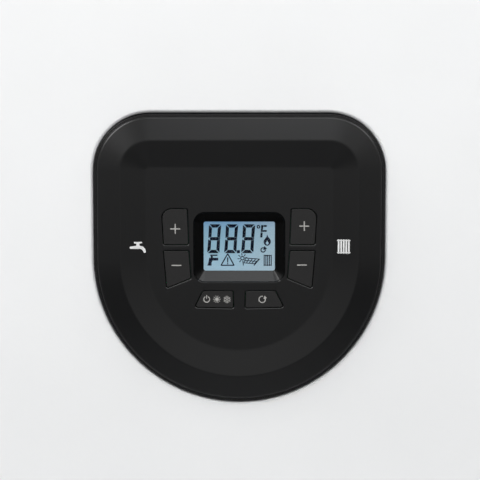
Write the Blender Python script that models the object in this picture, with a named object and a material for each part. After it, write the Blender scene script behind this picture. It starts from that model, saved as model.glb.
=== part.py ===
"""A wall-hung condensing combination boiler, built as separate pieces.

X runs to the right, Y runs back to the wall and Z runs up. The origin is the centre of the wall
bracket's back face. Lengths are in metres. Inside this file a place is written as (x, depth, z),
where depth is measured forward from the wall and z upward from the underside of the casing.
"""

from math import atan2, cos, pi, radians, sin

import bmesh
import bpy
from mathutils import Matrix, Vector

# Clearances
gap = 0.0003
overrun = 0.002
bore_clearance = 0.0006
crisp_angle = 30
bend_crisp_angle = 50

# Casing
case_width = 0.400
case_height = 0.700
case_depth = 0.300
sheet = 0.0012
cover_depth = 0.040
cover_round = 0.007
cover_corner = 0.004
cover_lip = 0.012
seal_thickness = 0.002
seal_width = 0.008
seal_inset = 0.0042
flange = 0.016
frame_standoff = 0.012
frame_rim = 0.002
chassis_front = case_depth - cover_depth - seal_thickness - 2 * gap
frame_front = frame_standoff + sheet + gap

# Wall bracket
bracket_width = 0.300
bracket_height = 0.044
bracket_sheet = 0.002
hang_drop = 0.060
hang_height = case_height - hang_drop
hook_width = 0.040
hook_set_in = 0.040
hook_lip = 0.012
hook_side_clearance = 0.002
hook_drop = 0.018
screw_slot_margin = 0.030
screw_slot_width = 0.008
screw_slot_length = 0.020
screw_slot_pitch = bracket_width - 2 * screw_slot_margin
hook_pitch = screw_slot_pitch - 2 * hook_set_in

# Cover screws and the slotted tongues that hold them
screw_side_room = 0.070
screw_pitch = case_width - 2 * screw_side_room
screw_reach = 0.0146
screw_depth = chassis_front + screw_reach
screw_shank = 0.002
screw_head = 0.0045
screw_head_height = 0.0028
screw_length = 0.009
screw_drive = 0.0016
tongue_width = 0.026
tongue_reach = 0.0266
tongue_depth = chassis_front + tongue_reach
tongue_thickness = 0.0012
tongue_height = sheet + gap

# Control panel: a shield with a flat top and a half-round foot
panel_radius = 0.080
panel_height = 0.1592
panel_corner = 0.031
panel_foot = 0.058
panel_arc_z = panel_foot + panel_radius
panel_top_z = panel_foot + panel_height
opening_clearance = 0.0007
opening_roll = 0.0018
opening_collar = 0.009
rim_width = 0.0020
rim_height = 0.0004
step_height = 0.0018
step_run = 0.0012
ridge_inset = 0.0147
ridge_height = 0.0068
ridge_round = 0.0009
plateau_inset = 0.0288
plateau_height = 0.0036
plateau_round = 0.0016
moulding = 0.0024
skirt = 0.0120

# Display
display_rise = 0.0059
display_z = panel_arc_z + display_rise
funnel_width = 0.0507
funnel_tall = 0.0392
funnel_corner = 0.0064
funnel_depth = 0.0050
funnel_wall = 0.0012
window_width = 0.0395
window_tall = 0.0272
window_corner = 0.0011
window_rise = 0.0063
window_z = panel_arc_z + window_rise
window_plate = 0.0010
window_margin = 0.0022

# Keys: widths and heights, the corners as shares of them, and how far they go in
key_travel = 0.0010
key_proud = 0.0006
key_slit = 0.0004
key_flange = 0.0007
key_flange_thickness = 0.0010
key_edge = 0.0004
key_small_corner = 0.0009
key_large_corner = 0.0052
stem_entry = 0.0006
switch_size = 0.0075
switch_height = 0.0046
stem_share = 0.30
plus_inner = 0.0280
plus_rise = 0.0075
plus_foot_z = panel_arc_z + plus_rise
plus_width = 0.0147
plus_height = 0.0195
plus_corner_shares = ((0.05, 1.0), (1.0, 1.0), (0.925, 0.0), (0.0, 0.0))
minus_inner = 0.0268
minus_drop = 0.0165
minus_foot_z = panel_arc_z - minus_drop
minus_width = 0.0149
minus_height = 0.0205
minus_corner_shares = ((0.08, 1.0), (1.0, 1.0), (0.886, 0.0), (0.0, 0.26))
lower_inner = 0.0033
lower_drop = 0.0276
lower_foot_z = panel_arc_z - lower_drop
lower_width = 0.0211
lower_height = 0.0093
lower_corner_shares = ((0.015, 1.0), (0.79, 1.0), (1.0, 0.05), (0.0, 0.0))

# Control box and circuit board
box_side_room = 0.035
box_width = case_width - 2 * box_side_room
box_foot = 0.038
box_height = 0.192
box_thickness = 0.048
box_back = case_depth - skirt - gap - box_thickness
box_wall = 0.0025
box_corner = 0.006
box_opening_inset = 0.006
foot_set_in = 0.040
foot_pitch = box_width - 2 * foot_set_in
foot_width = 0.018
foot_depth = 0.012
foot_set_back = 0.008
board_width = 0.116
board_height = 0.092
board_thickness = 0.0016
board_rise = 0.004
board_centre_z = panel_arc_z + board_rise
post_radius = 0.0035
post_pitch_x = 0.104
post_pitch_z = 0.080

# Flue
flue_depth = 0.125
flue_inner = 0.030
flue_wall = 0.0012
flue_rise = 0.036
collar_radius = 0.050
collar_wall = 0.0015
collar_flange = 0.062
collar_flange_height = 0.003
collar_rise = 0.040
bell_length = 0.018
bell_wall = 0.0015

# Fan
exchanger_drop = 0.200
exchanger_z = case_height - exchanger_drop
fan_side_clearance = 0.0128
volute_start = 0.042
volute_end = 0.054
volute_width = 0.035
volute_wall = 0.003
volute_reach = 0.056
volute_mouth = 0.034
motor_cover_clearance = 0.007
motor_radius = 0.034
motor_length = 0.0235
motor_shoulder_share = 0.75
motor_shaft_hole = 0.010
volute_front = case_depth - sheet - motor_cover_clearance - motor_length - gap
volute_back = volute_front - volute_width
fan_x = case_width / 2 - sheet - fan_side_clearance - volute_end
fan_z = exchanger_z - volute_end + volute_mouth / 2
fan_inlet = 0.021
impeller_radius = 0.036
impeller_hub = 0.009
impeller_plate = 0.0016
impeller_depth = 0.0235
impeller_clearance = 0.003
impeller_back = volute_back + volute_wall + impeller_clearance
impeller_eye = 0.022
blade_count = 9
blade_root = 0.0117
blade_thickness = 0.0014
blade_sweep = radians(52)
shaft_radius = 0.003
shaft_clearance = 0.0003

# Expansion vessel, between the left side and the heat exchanger
vessel_side_clearance = 0.0088
vessel_shell_clearance = 0.006
vessel_front_clearance = 0.0069
vessel_back_clearance = 0.016
vessel_thickness = 0.076
vessel_seam = 0.0025
vessel_x = case_width / 2 - sheet - vessel_side_clearance - vessel_thickness / 2
vessel_drop = 0.220
vessel_z = case_height - vessel_drop
vessel_room = chassis_front - vessel_front_clearance - vessel_back_clearance - frame_front
vessel_radius = vessel_room / 2 - vessel_seam
vessel_depth = frame_front + vessel_back_clearance + vessel_room / 2
vessel_face_share = 0.6
vessel_shoulder_share = 0.9
vessel_bulge_share = 0.8
vessel_foot_width = 0.050
vessel_foot_height = 0.060
vessel_nipple = 0.007
vessel_nipple_drop = 0.014
vessel_pipe_radius = 0.005
vessel_pipe_bend = 0.018

# Heat exchanger
duct_height = 0.052
duct_wall = 0.005
duct_set_back = 0.006
duct_depth = 0.037
duct_front = volute_front - duct_set_back
duct_right = fan_x - volute_reach - gap
door_thickness = 0.0117
shell_wall = 0.006
shell_rib = 0.003
shell_rib_width = 0.006
shell_rib_shares = (0.3, 0.7)
shell_radius = vessel_x - vessel_thickness / 2 - vessel_shell_clearance - shell_rib
shell_back = 0.042
shell_front = duct_front - duct_depth - door_thickness - gap
shell_foot_radius = 0.008
shell_foot_set_in = 0.050
shell_foot_pitch = 2 * (shell_radius - shell_foot_set_in)
spigot_rise = 0.024
drain_radius = 0.011
drain_bore = 0.008
drain_depth = 0.060
drain_drop = 0.012
door_overhang = 0.001
door_radius = shell_radius + door_overhang
door_plug_clearance = 0.003
door_plug = shell_radius - shell_wall - door_plug_clearance
door_plug_depth = 0.010
door_bolt_radius = 0.006
door_bolt_height = 0.006
door_bolt_set_in = 0.011
door_bolt_pitch_radius = shell_radius - door_bolt_set_in
door_bolts = 6
coil_tube = 0.008
coil_pitch = 0.018
coil_wall_clearance = 0.009
coil_radius = shell_radius - shell_wall - coil_wall_clearance - coil_tube
coil_back_clearance = 0.033
coil_front_clearance = 0.028
coil_first_depth = shell_back + coil_back_clearance
coil_room = shell_front - door_plug_depth - coil_front_clearance - coil_first_depth
coil_turns = int(coil_room / coil_pitch) + 1 / 2
coil_leg_reach = 0.020
coil_leg_drop = shell_radius + coil_leg_reach
coil_boss = 0.013
coil_boss_drop = 0.022
burner_share = 0.42
burner_radius = (coil_radius - coil_tube) * burner_share
burner_wall = 0.0015
burner_back_clearance = 0.056
burner_length = shell_front - door_plug_depth - shell_back - burner_back_clearance
electrode_radius = 0.0040
electrode_rod = 0.0015
electrode_length = 0.036
electrode_tip = 0.052
electrode_collar = 0.0072
electrode_turn = radians(145)
electrode_circle = (burner_radius + coil_radius - coil_tube) / 2
duct_left_set_in = 0.003
duct_left = burner_radius - duct_left_set_in

# Gas and air
mixer_length = 0.063
mixer_flange = 0.030
mixer_flange_thickness = 0.005
mixer_throat = 0.020
mixer_tail = 0.022
mixer_wall = 0.003
mixer_back = volute_back - mixer_length
mixer_run = 0.014
gas_port_set_back = 0.033
gas_port_depth = volute_back - gas_port_set_back
gas_port_radius = 0.010
gas_port_drop = 0.040
intake_radius = 0.022
intake_wall = 0.0015
intake_bend = 0.050
intake_run = 0.065
intake_depth = mixer_back - intake_run
intake_head_room = 0.100
intake_top = case_height - intake_head_room
valve_width = 0.052
valve_height = 0.066
valve_depth = 0.050
valve_corner = 0.002
valve_union = 0.013
valve_union_height = 0.012
solenoid_radius = 0.013
solenoid_height = 0.020
solenoid_pitch = 0.030
gas_pipe_radius = 0.009
gas_pipe_bend = 0.018
gas_pipe_drop = 0.026

# Water side
tail_spacing = 0.062
tail_depth = 0.110
tail_drop = 0.026
tail_large = 0.0132
tail_small = 0.0105
tail_collar = 0.004
manifold_foot = 0.060
manifold_height = 0.050
manifold_depth = 0.060
manifold_inner = 0.040
manifold_outer = 0.152
manifold_boss = 0.015
pump_x = 0.116
pump_z = 0.190
pump_radius = 0.044
pump_wall = 0.004
pump_back = 0.088
pump_front = 0.132
pump_port = 0.014
pump_rotor_radius = 0.034
pump_rotor_depth = 0.014
pump_rotor_hub = 0.008
pump_blades = 5
pump_blade_height = 0.010
pump_blade_thickness = 0.0021
pump_motor_radius = 0.040
pump_box_clearance = 0.0294
pump_motor_length = box_back - pump_box_clearance - pump_front - gap
pump_groove_depth = 0.002
pump_groove_shares = (0.4, 0.6)
pump_shaft_share = 0.385
pump_shaft_length = pump_motor_length * pump_shaft_share
terminal_corner = 0.002
pump_port_rise = 0.010
pump_top = pump_z + pump_radius + pump_port_rise
plate_width = 0.160
plate_height = 0.048
plate_pack = 0.047
plate_count = 6
plate_groove = 0.0016
plate_fold_shares = (0.5, 0.7)
water_pipe_radius = 0.011
water_pipe_bend = 0.022
vent_x = 0.050
vent_radius = 0.013
vent_height = 0.070
actuator_x = 0.070
actuator_width = 0.034
actuator_height = 0.054
actuator_neck = 0.0272
relief_x = 0.125
relief_radius = 0.013
relief_length = 0.030
relief_neck = 0.0104
relief_outlet = 0.007
relief_outlet_drop = 0.014
relief_knob_radius = 0.015
relief_knob_length = 0.016
filling_x = 0.093
filling_radius = 0.008
filling_body = 0.012
filling_drop = 0.012
filling_knob_radius = 0.013
filling_knob_height = 0.020
pin_radius = 0.0025
pin_length = 0.006
flute_share = 0.9
knob_neck_share = 0.7
knob_crown_share = 0.88
trap_radius = 0.027
trap_foot = 0.196
trap_height_share = 0.59
trap_neck = 0.013
trap_shoulder = 0.0162
trap_outlet = 0.010
trap_outlet_drop = 0.012
gauge_x = -0.031
gauge_set_back = 0.0424
gauge_depth = chassis_front - gauge_set_back
gauge_radius = 0.020
gauge_flange = 0.023
gauge_flange_height = 0.003
gauge_height = 0.022
gauge_recess = 0.0022
needle_length = 0.014
needle_tail = 0.005
needle_width = 0.0016
needle_thickness = 0.0006
needle_pin = 0.0010
gland_side_room = 0.050
gland_x = gland_side_room - case_width / 2
gland_set_back = 0.0424
gland_depth = chassis_front - gland_set_back
gland_nut = 0.011
gland_nut_height = 0.009
gland_thread = 0.008
gland_thread_height = 0.010
gland_bore = 0.004

FRONT = Matrix.Rotation(pi / 2, 4, "X")
UP = Matrix.Identity(4)
DOWN = Matrix.Rotation(pi, 4, "X")
SIDE = Matrix(((0, 0, 1, 0), (1, 0, 0, 0), (0, 1, 0, 0), (0, 0, 0, 1)))


# Scene, materials and parenting

def clear_scene():
    """Remove what the file opened with."""
    for old in list(bpy.data.objects):
        bpy.data.objects.remove(old, do_unlink=True)


def principled(name, colour, roughness, metallic=0.0, alpha=1.0):
    """A Principled material with the given colour, roughness and metallic value."""
    material = bpy.data.materials.new(name)
    material.use_nodes = True
    shader = material.node_tree.nodes["Principled BSDF"]
    shader.inputs["Base Color"].default_value = (*colour, 1.0)
    shader.inputs["Roughness"].default_value = roughness
    shader.inputs["Metallic"].default_value = metallic
    shader.inputs["Alpha"].default_value = alpha
    material.diffuse_color = (*colour, alpha)
    return material


def empty(name, place=(0, 0, 0), parent=None):
    """An empty at (x, depth, z) that carries other objects."""
    anchor = bpy.data.objects.new(name, None)
    x, depth, z = place
    anchor.location = (x, -depth, z)
    anchor.parent = parent
    bpy.context.scene.collection.objects.link(anchor)
    return anchor


# Outlines in a plane, each a list of (x, y) points in turn, anticlockwise

def circle(radius, steps=20, centre=(0, 0)):
    """A circle's points."""
    turns = (2 * pi * step / steps for step in range(steps))
    return [(centre[0] + radius * cos(turn), centre[1] + radius * sin(turn)) for turn in turns]


def rounded(corners, radii, steps=3):
    """The polygon with each corner replaced by an arc of its own radius, in one or more steps."""
    points = []
    counts = [steps] * len(corners) if isinstance(steps, int) else steps
    for index, corner in enumerate(corners):
        here = Vector(corner)
        back = (Vector(corners[index - 1]) - here).normalized()
        ahead = (Vector(corners[(index + 1) % len(corners)]) - here).normalized()
        half = back.angle(ahead) / 2
        reach = radii[index] * cos(half) / sin(half)
        centre = here + (back + ahead).normalized() * (radii[index] / sin(half))
        first = here + back * reach - centre
        last = here + ahead * reach - centre
        sweep = first.angle_signed(last)
        for step in range(counts[index] + 1):
            turned_by = Matrix.Rotation(-sweep * step / counts[index], 2)
            points.append(tuple(centre + turned_by @ first))
    return points


def rounded_rect(width, height, radius, centre=(0, 0), steps=3):
    """A rectangle with round corners."""
    x, y = centre
    corners = [(x + width / 2, y + height / 2), (x - width / 2, y + height / 2),
               (x - width / 2, y - height / 2), (x + width / 2, y - height / 2)]
    return rounded(corners, [radius] * len(corners), steps)


def rect(width, height, centre=(0, 0)):
    """A plain rectangle."""
    x, y = centre
    return [(x + width / 2, y + height / 2), (x - width / 2, y + height / 2),
            (x - width / 2, y - height / 2), (x + width / 2, y - height / 2)]


def grown(corners, distance):
    """The convex polygon with every edge moved outward by a distance."""
    result = []
    count = len(corners)
    for index, corner in enumerate(corners):
        here = Vector(corner)
        edge_in = (here - Vector(corners[index - 1])).normalized()
        edge_out = (Vector(corners[(index + 1) % count]) - here).normalized()
        normal_in = Vector((edge_in.y, -edge_in.x))
        normal_out = Vector((edge_out.y, -edge_out.x))
        shift = (normal_in + normal_out) / (1 + normal_in.dot(normal_out))
        result.append(tuple(here + shift * distance))
    return result


def shrunk(outline, share):
    """The outline drawn in toward its middle by a share."""
    middle = sum((Vector(point) for point in outline), Vector((0, 0))) / len(outline)
    return [tuple(middle + (Vector(point) - middle) * share) for point in outline]


def shield(inset=0, arc_steps=20, corner_steps=4):
    """The panel's outline, drawn in by an inset, centred on x = 0 and standing on its arc."""
    radius = panel_radius - inset
    top = panel_top_z - inset
    corner = max(panel_corner - inset, gap)
    points = []
    for step in range(corner_steps + 1):
        turn = pi / 2 * step / corner_steps
        points.append((radius - corner + corner * cos(turn), top - corner + corner * sin(turn)))
    points += [(-x, z) for x, z in reversed(points)]
    for step in range(arc_steps + 1):
        turn = pi + pi * step / arc_steps
        points.append((radius * cos(turn), panel_arc_z + radius * sin(turn)))
    return points


# Solids

def ring(outline, height):
    """The outline's points at a height."""
    return [(x, y, height) for x, y in outline]


def loft(name, rings, material, parent, place=(0, 0, 0), axes=FRONT, closed=False,
         smooth=crisp_angle):
    """A solid through rings of equal point counts, capped at both ends or closed on itself."""
    mesh = bmesh.new()
    loops = [[mesh.verts.new(point) for point in points] for points in rings]
    pairs = list(zip(loops, loops[1:]))
    if closed:
        pairs.append((loops[-1], loops[0]))
    else:
        mesh.faces.new(loops[0])
        mesh.faces.new(loops[-1])
    for lower, upper in pairs:
        for index in range(len(lower)):
            after = (index + 1) % len(lower)
            mesh.faces.new((lower[index], lower[after], upper[after], upper[index]))
    bmesh.ops.recalc_face_normals(mesh, faces=mesh.faces)
    return finish(name, mesh, material, parent, place, axes, smooth)


def finish(name, mesh, material, parent, place, axes, smooth):
    """Turn a bmesh into an object at (x, depth, z) with its local Z along the axes given."""
    data = bpy.data.meshes.new(name)
    mesh.to_mesh(data)
    mesh.free()
    if smooth:
        data.shade_smooth()
        data.set_sharp_from_angle(angle=radians(smooth))
    data.materials.append(material)
    solid = bpy.data.objects.new(name, data)
    x, depth, z = place
    solid.location = (x, -depth, z)
    solid.rotation_euler = axes.to_euler()
    solid.parent = parent
    bpy.context.scene.collection.objects.link(solid)
    return solid


def prism(name, outline, low, high, material, parent, place=(0, 0, 0), axes=FRONT):
    """The outline extruded along the local Z axis."""
    return loft(name, [ring(outline, low), ring(outline, high)], material, parent, place, axes)


def turned(name, profile, material, parent, place=(0, 0, 0), axes=UP, bore=False, steps=20):
    """A turned solid from (radius, height) points, or with a bore where they go round."""
    rings = [ring(circle(radius, steps), height) for radius, height in profile]
    return loft(name, rings, material, parent, place, axes, closed=bore)


def hidden(solid):
    """Keep a cutter or an added lump out of the part itself."""
    solid.hide_render = True
    solid.display_type = "WIRE"
    return solid


def combine(solid, other, operation):
    """Cut another solid away from this one, or join it on."""
    modifier = solid.modifiers.new(other.name, "BOOLEAN")
    modifier.operation = operation
    modifier.solver = "EXACT"
    modifier.object = hidden(other)
    return solid


def cut(solid, other):
    """Cut the other solid away."""
    return combine(solid, other, "DIFFERENCE")


def fuse(solid, other):
    """Join the other solid on."""
    return combine(solid, other, "UNION")


def around(radius, steps):
    """The corner radius of a polygon whose flats just clear a circle."""
    return radius / cos(pi / steps)


def drill(solid, radius, start, end, place, axes, parent, steps=16):
    """Cut a round hole along the local Z axis of the axes given, its flats at the radius."""
    name = f"{solid.name}_hole_{len(solid.modifiers)}"
    corner = around(radius, steps)
    tool = turned(name, [(corner, start), (corner, end)], solid.data.materials[0], parent, place, axes,
                  steps=steps)
    return cut(solid, tool)


def stud(solid, radius, start, end, place, axes, parent, steps=16):
    """Join a round boss on."""
    name = f"{solid.name}_boss_{len(solid.modifiers)}"
    lump = turned(name, [(radius, start), (radius, end)], solid.data.materials[0], parent, place, axes,
                  steps=steps)
    return fuse(solid, lump)


def bent(points, bend, steps=3):
    """The route through the points, each inner corner replaced by an arc of the bend radius."""
    route = [Vector(points[0])]
    for before, corner, after in zip(points, points[1:], points[2:]):
        here = Vector(corner)
        back = (Vector(before) - here).normalized()
        ahead = (Vector(after) - here).normalized()
        half = back.angle(ahead) / 2
        reach = bend * cos(half) / sin(half)
        centre = here + (back + ahead).normalized() * (bend / sin(half))
        first = here + back * reach - centre
        axis = first.cross(here + ahead * reach - centre).normalized()
        sweep = pi - 2 * half
        for step in range(steps + 1):
            route.append(centre + Matrix.Rotation(sweep * step / steps, 3, axis) @ first)
    route.append(Vector(points[-1]))
    return route


def tube(name, route, radius, material, parent, bore=0, sides=8):
    """A round tube along a route of (x, depth, z) points, solid or with a bore."""
    path = [Vector((x, -depth, z)) for x, depth, z in route]
    tangents = [(path[1] - path[0]).normalized()]
    tangents += [(after - before).normalized() for before, after in zip(path, path[2:])]
    tangents.append((path[-1] - path[-2]).normalized())
    across = tangents[0].orthogonal().normalized()
    outer, inner = [], []
    for point, tangent in zip(path, tangents):
        across = (across - tangent * across.dot(tangent)).normalized()
        upright = tangent.cross(across)
        for loops, size in ((outer, radius), (inner, bore)):
            loops.append([tuple(point + across * u + upright * v) for u, v in circle(size, sides)])
    rings = outer + inner[::-1] if bore else outer
    return loft(name, rings, material, parent, axes=UP, closed=bool(bore),
                smooth=bend_crisp_angle)


# Wall bracket and chassis

def wall_bracket(parent, look):
    """The hanging plate: two slotted holes for the wall screws and two upturned hooks."""
    plate = prism("wall_bracket", rect(bracket_width, bracket_height, (0, hang_height)), 0, bracket_sheet,
                  look["zinc"], parent)
    reach = frame_front
    seat = hang_height
    outline = [(-bracket_sheet / 2, seat), (-reach - bracket_sheet, seat),
               (-reach - bracket_sheet, seat + hook_lip), (-reach, seat + hook_lip),
               (-reach, seat + bracket_sheet), (-bracket_sheet / 2, seat + bracket_sheet)]
    for side in (-1, 1):
        middle = side * hook_pitch / 2
        hook = prism(f"hook_{side}", outline, middle - hook_width / 2, middle + hook_width / 2,
                     look["zinc"], parent, axes=SIDE)
        fuse(plate, hook)
        slot = rounded_rect(screw_slot_length, screw_slot_width, screw_slot_width / 2 - gap,
                            (side * screw_slot_pitch / 2, hang_height), steps=2)
        cut(plate, prism(f"screw_slot_{side}", slot, -overrun, bracket_sheet + overrun, look["zinc"],
                         parent))
    return plate


def back_frame(parent, look):
    """The pan that everything hangs on, with two slots that drop over the bracket's hooks."""
    width = case_width - 2 * (sheet + gap)
    height = case_height - 2 * (sheet + gap)
    centre = (0, case_height / 2)
    outer = rounded_rect(width, height, cover_corner, centre, steps=1)
    inner = rounded_rect(width - 2 * sheet, height - 2 * sheet, cover_corner - sheet, centre, steps=1)
    rings = [ring(inner, frame_standoff), ring(inner, frame_rim), ring(outer, frame_rim),
             ring(outer, frame_standoff + sheet)]
    pan = loft("back_frame", rings, look["zinc"], parent)
    top = hang_height + bracket_sheet + gap
    bottom = hang_height - hook_drop
    for side in (-1, 1):
        slot = rect(hook_width + 2 * hook_side_clearance, top - bottom,
                    (side * hook_pitch / 2, (top + bottom) / 2))
        cut(pan, prism(f"hook_slot_{side}", slot, frame_standoff - overrun, frame_standoff + sheet + overrun,
                       look["zinc"], parent))
    return pan


def side_panel(name, side, parent, look):
    """A side of the casing with its front edge folded inward."""
    outside = side * case_width / 2
    front = -(chassis_front - sheet - gap)
    back = -frame_rim
    outline = [(outside, back), (outside, front), (outside - side * flange, front),
               (outside - side * flange, front + sheet), (outside - side * sheet, front + sheet),
               (outside - side * sheet, back)]
    return prism(name, outline, sheet + gap, case_height - sheet - gap, look["white"], parent, axes=UP)


def end_panel(name, level, rise, parent, look):
    """The top or the bottom of the casing, with its front edge folded toward the middle."""
    front = -chassis_front
    back = -frame_rim
    outline = [(back, level), (front, level), (front, level + rise * flange),
               (front + sheet, level + rise * flange), (front + sheet, level + rise * sheet),
               (back, level + rise * sheet)]
    half = case_width / 2
    return prism(name, outline, -half, half, look["white"], parent, axes=SIDE)


def top_panel(parent, look):
    """The casing's top, open for the flue and its air ring."""
    panel = end_panel("top_panel", case_height, -1, parent, look)
    return drill(panel, collar_radius - collar_wall, case_height - sheet - overrun, case_height + overrun,
                 (0, flue_depth, 0), UP, parent, steps=20)


def bottom_panel(parent, look, openings):
    """The casing's underside, with a hole for each pipe and two slotted tongues for the cover's screws."""
    panel = end_panel("bottom_panel", 0, 1, parent, look)
    for x, depth, radius in openings:
        drill(panel, radius + gap, -overrun, sheet + overrun, (x, depth, 0), UP, parent, steps=12)
    root = chassis_front - sheet / 2
    for side in (-1, 1):
        x = side * screw_pitch / 2
        tongue = rect(tongue_width, tongue_depth - root, (x, -(tongue_depth + root) / 2))
        fuse(panel, prism(f"tongue_{side}", tongue, tongue_height, tongue_height + tongue_thickness,
                          look["white"], parent, axes=UP))
        slot_width = 2 * (screw_shank + bore_clearance)
        slot = rect(slot_width, tongue_depth - screw_depth + screw_shank + bore_clearance + overrun,
                    (x, -(tongue_depth + overrun + screw_depth - screw_shank - bore_clearance) / 2))
        cut(panel, prism(f"tongue_slot_{side}", slot, tongue_height - overrun,
                         tongue_height + tongue_thickness + overrun, look["white"], parent, axes=UP))
    return panel


# Front cover

def front_cover(parent, look):
    """The pressed white cover with rolled edges round the panel's opening."""
    centre = (0, case_height / 2)
    back = chassis_front + seal_thickness + 2 * gap

    def outline(inset, corner):
        return rounded_rect(case_width - 2 * inset, case_height - 2 * inset, corner, centre, steps=2)

    def rounding(wall):
        steps = 3
        radius = cover_round - wall
        rings = []
        for step in range(steps + 1):
            turn = pi / 2 * step / steps
            inset = wall + radius * (1 - sin(turn))
            depth = case_depth - wall - radius * (1 - cos(turn))
            rings.append(ring(outline(inset, cover_corner - wall + (inset - wall) / 2), depth))
        return rings

    rings = [*rounding(sheet),
             ring(outline(sheet, cover_corner - sheet), back + sheet),
             ring(outline(cover_lip, cover_corner / 4), back + sheet),
             ring(outline(cover_lip, cover_corner / 4), back),
             ring(outline(0, cover_corner), back),
             *reversed(rounding(0))]
    cover = loft("front_cover", rings, look["white"], parent)
    rolled_opening(cover, parent, look)
    for side in (-1, 1):
        x = side * screw_pitch / 2
        notch = rect(tongue_width + 2 * bore_clearance, overrun + tongue_thickness + 2 * gap,
                     (x, sheet + (overrun + tongue_thickness + 2 * gap) / 2))
        cut(cover, prism(f"tongue_notch_{side}", notch, back - overrun, back + sheet + overrun,
                         look["white"], parent))
        drill(cover, screw_shank + gap, -overrun, sheet + overrun, (x, screw_depth, 0), UP, parent, steps=12)
    return cover


def rolled_opening(cover, parent, look):
    """Roll the sheet inward all round the opening that the control panel stands in."""
    steps = 3
    hidden_radius = opening_roll - sheet
    collar = [ring(shield(-opening_clearance - sheet), case_depth - opening_collar)]
    mouth = [ring(shield(-opening_clearance), case_depth - opening_collar - overrun)]
    for step in range(steps + 1):
        turn = pi / 2 * step / steps
        outward = opening_clearance + opening_roll
        depth = case_depth - opening_roll
        collar.append(ring(shield(hidden_radius * cos(turn) - outward), depth + hidden_radius * sin(turn)))
        mouth.append(ring(shield(opening_roll * cos(turn) - outward), depth + opening_roll * sin(turn)))
    collar.append(ring(shield(-opening_clearance - opening_roll), case_depth - sheet / 2))
    mouth.append(ring(shield(-opening_clearance - opening_roll), case_depth + overrun))
    fuse(cover, loft("opening_collar", collar, look["white"], parent))
    cut(cover, loft("opening_mouth", mouth, look["white"], parent))


def cover_screw(name, side, parent, look):
    """A captive screw that goes up through the cover into the slotted tongue."""
    profile = [(screw_head - screw_drive / 2, -gap - screw_head_height),
               (screw_head, -gap - screw_head_height + screw_drive / 2), (screw_head, -gap),
               (screw_shank, -gap), (screw_shank, screw_length)]
    screw = turned(name, profile, look["zinc"], parent, (side * screw_pitch / 2, screw_depth, 0), steps=10)
    for turn in (0, 1):
        size = (2 * screw_head - 2 * screw_drive, screw_drive)
        cross = rect(size[turn], size[1 - turn], (side * screw_pitch / 2, -screw_depth))
        foot = -gap - screw_head_height
        cut(screw, prism(f"{name}_cross_{turn}", cross, foot - overrun, foot + screw_drive, look["zinc"],
                         parent, axes=UP))
    return screw


def cover_seal(parent, look):
    """The foam frame between the chassis and the cover's folded edge."""
    centre = (0, case_height / 2)
    outer = rect(case_width - 2 * seal_inset, case_height - 2 * seal_inset, centre)
    inner = rect(case_width - 2 * (seal_inset + seal_width), case_height - 2 * (seal_inset + seal_width),
                 centre)
    low = chassis_front + gap
    high = low + seal_thickness
    rings = [ring(outer, low), ring(outer, high), ring(inner, high), ring(inner, low)]
    return loft("cover_seal", rings, look["foam"], parent, closed=True)


# Control panel

def key_corners(inner, foot, width, height, shares, side):
    """A key's corners on one side of the panel, anticlockwise seen from the front."""
    corners = [(side * (inner + u * width), foot + v * height) for u, v in shares]
    return corners if side < 0 else corners[::-1]


def key_table():
    """Each key's name, corners and the radius of each corner."""
    kinds = {"plus": (plus_inner, plus_foot_z, plus_width, plus_height, plus_corner_shares),
             "minus": (minus_inner, minus_foot_z, minus_width, minus_height, minus_corner_shares),
             "lower": (lower_inner, lower_foot_z, lower_width, lower_height, lower_corner_shares)}
    names = {"key_water_plus": ("plus", -1), "key_water_minus": ("minus", -1),
             "key_heating_plus": ("plus", 1), "key_heating_minus": ("minus", 1),
             "key_mode": ("lower", -1), "key_reset": ("lower", 1)}
    table = {}
    for name, (kind, side) in names.items():
        corners = key_corners(*kinds[kind], side)
        radii = [key_small_corner] * len(corners)
        if kind == "plus":
            radii[1 if side < 0 else 2] = key_large_corner
        table[name] = (corners, radii)
    return table


def key_outline(corners, radii, growth):
    """A key's rounded outline, grown by a distance."""
    sizes = [max(radius + growth, key_small_corner / 2) for radius in radii]
    steps = [3 if radius > key_small_corner else 1 for radius in radii]
    return rounded(grown(corners, growth), sizes, steps)


def plateau_front():
    """The depth of the panel's flat middle."""
    return case_depth + plateau_height


def control_fascia(parent, look):
    """The moulded panel: rim, raised band, sunk middle, funnel round the display and key slots."""
    steps = 2
    front = [(0, -skirt), (0, rim_height - key_edge), (key_edge, rim_height), (rim_width, rim_height)]
    for step in range(1, steps + 1):
        turn = pi / 2 * step / steps
        front.append((rim_width + step_run * (1 - cos(turn)),
                      rim_height + step_height * sin(turn)))
    front += [(ridge_inset - ridge_round, ridge_height - ridge_round / 4), (ridge_inset, ridge_height),
              (ridge_inset + ridge_round, ridge_height - ridge_round / 4),
              (plateau_inset - plateau_round, plateau_height + plateau_round / 8),
              (plateau_inset, plateau_height), (plateau_inset + plateau_round, plateau_height)]
    back = [(plateau_inset + plateau_round, plateau_height - moulding),
            (plateau_inset, plateau_height - moulding),
            (ridge_inset, ridge_height - moulding), (rim_width + step_run, rim_height - moulding),
            (moulding, rim_height - moulding - key_edge), (moulding, -skirt)]
    rings = [ring(shield(inset), case_depth + height) for inset, height in back + front]
    panel = loft("control_fascia", rings, look["black"], parent)
    display_funnel(panel, parent, look)
    low = plateau_front() - moulding - overrun
    high = plateau_front() + overrun
    for name, (corners, radii) in key_table().items():
        cut(panel, prism(f"{name}_slot", key_outline(corners, radii, key_slit), low, high, look["black"],
                         parent))
    return panel


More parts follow.
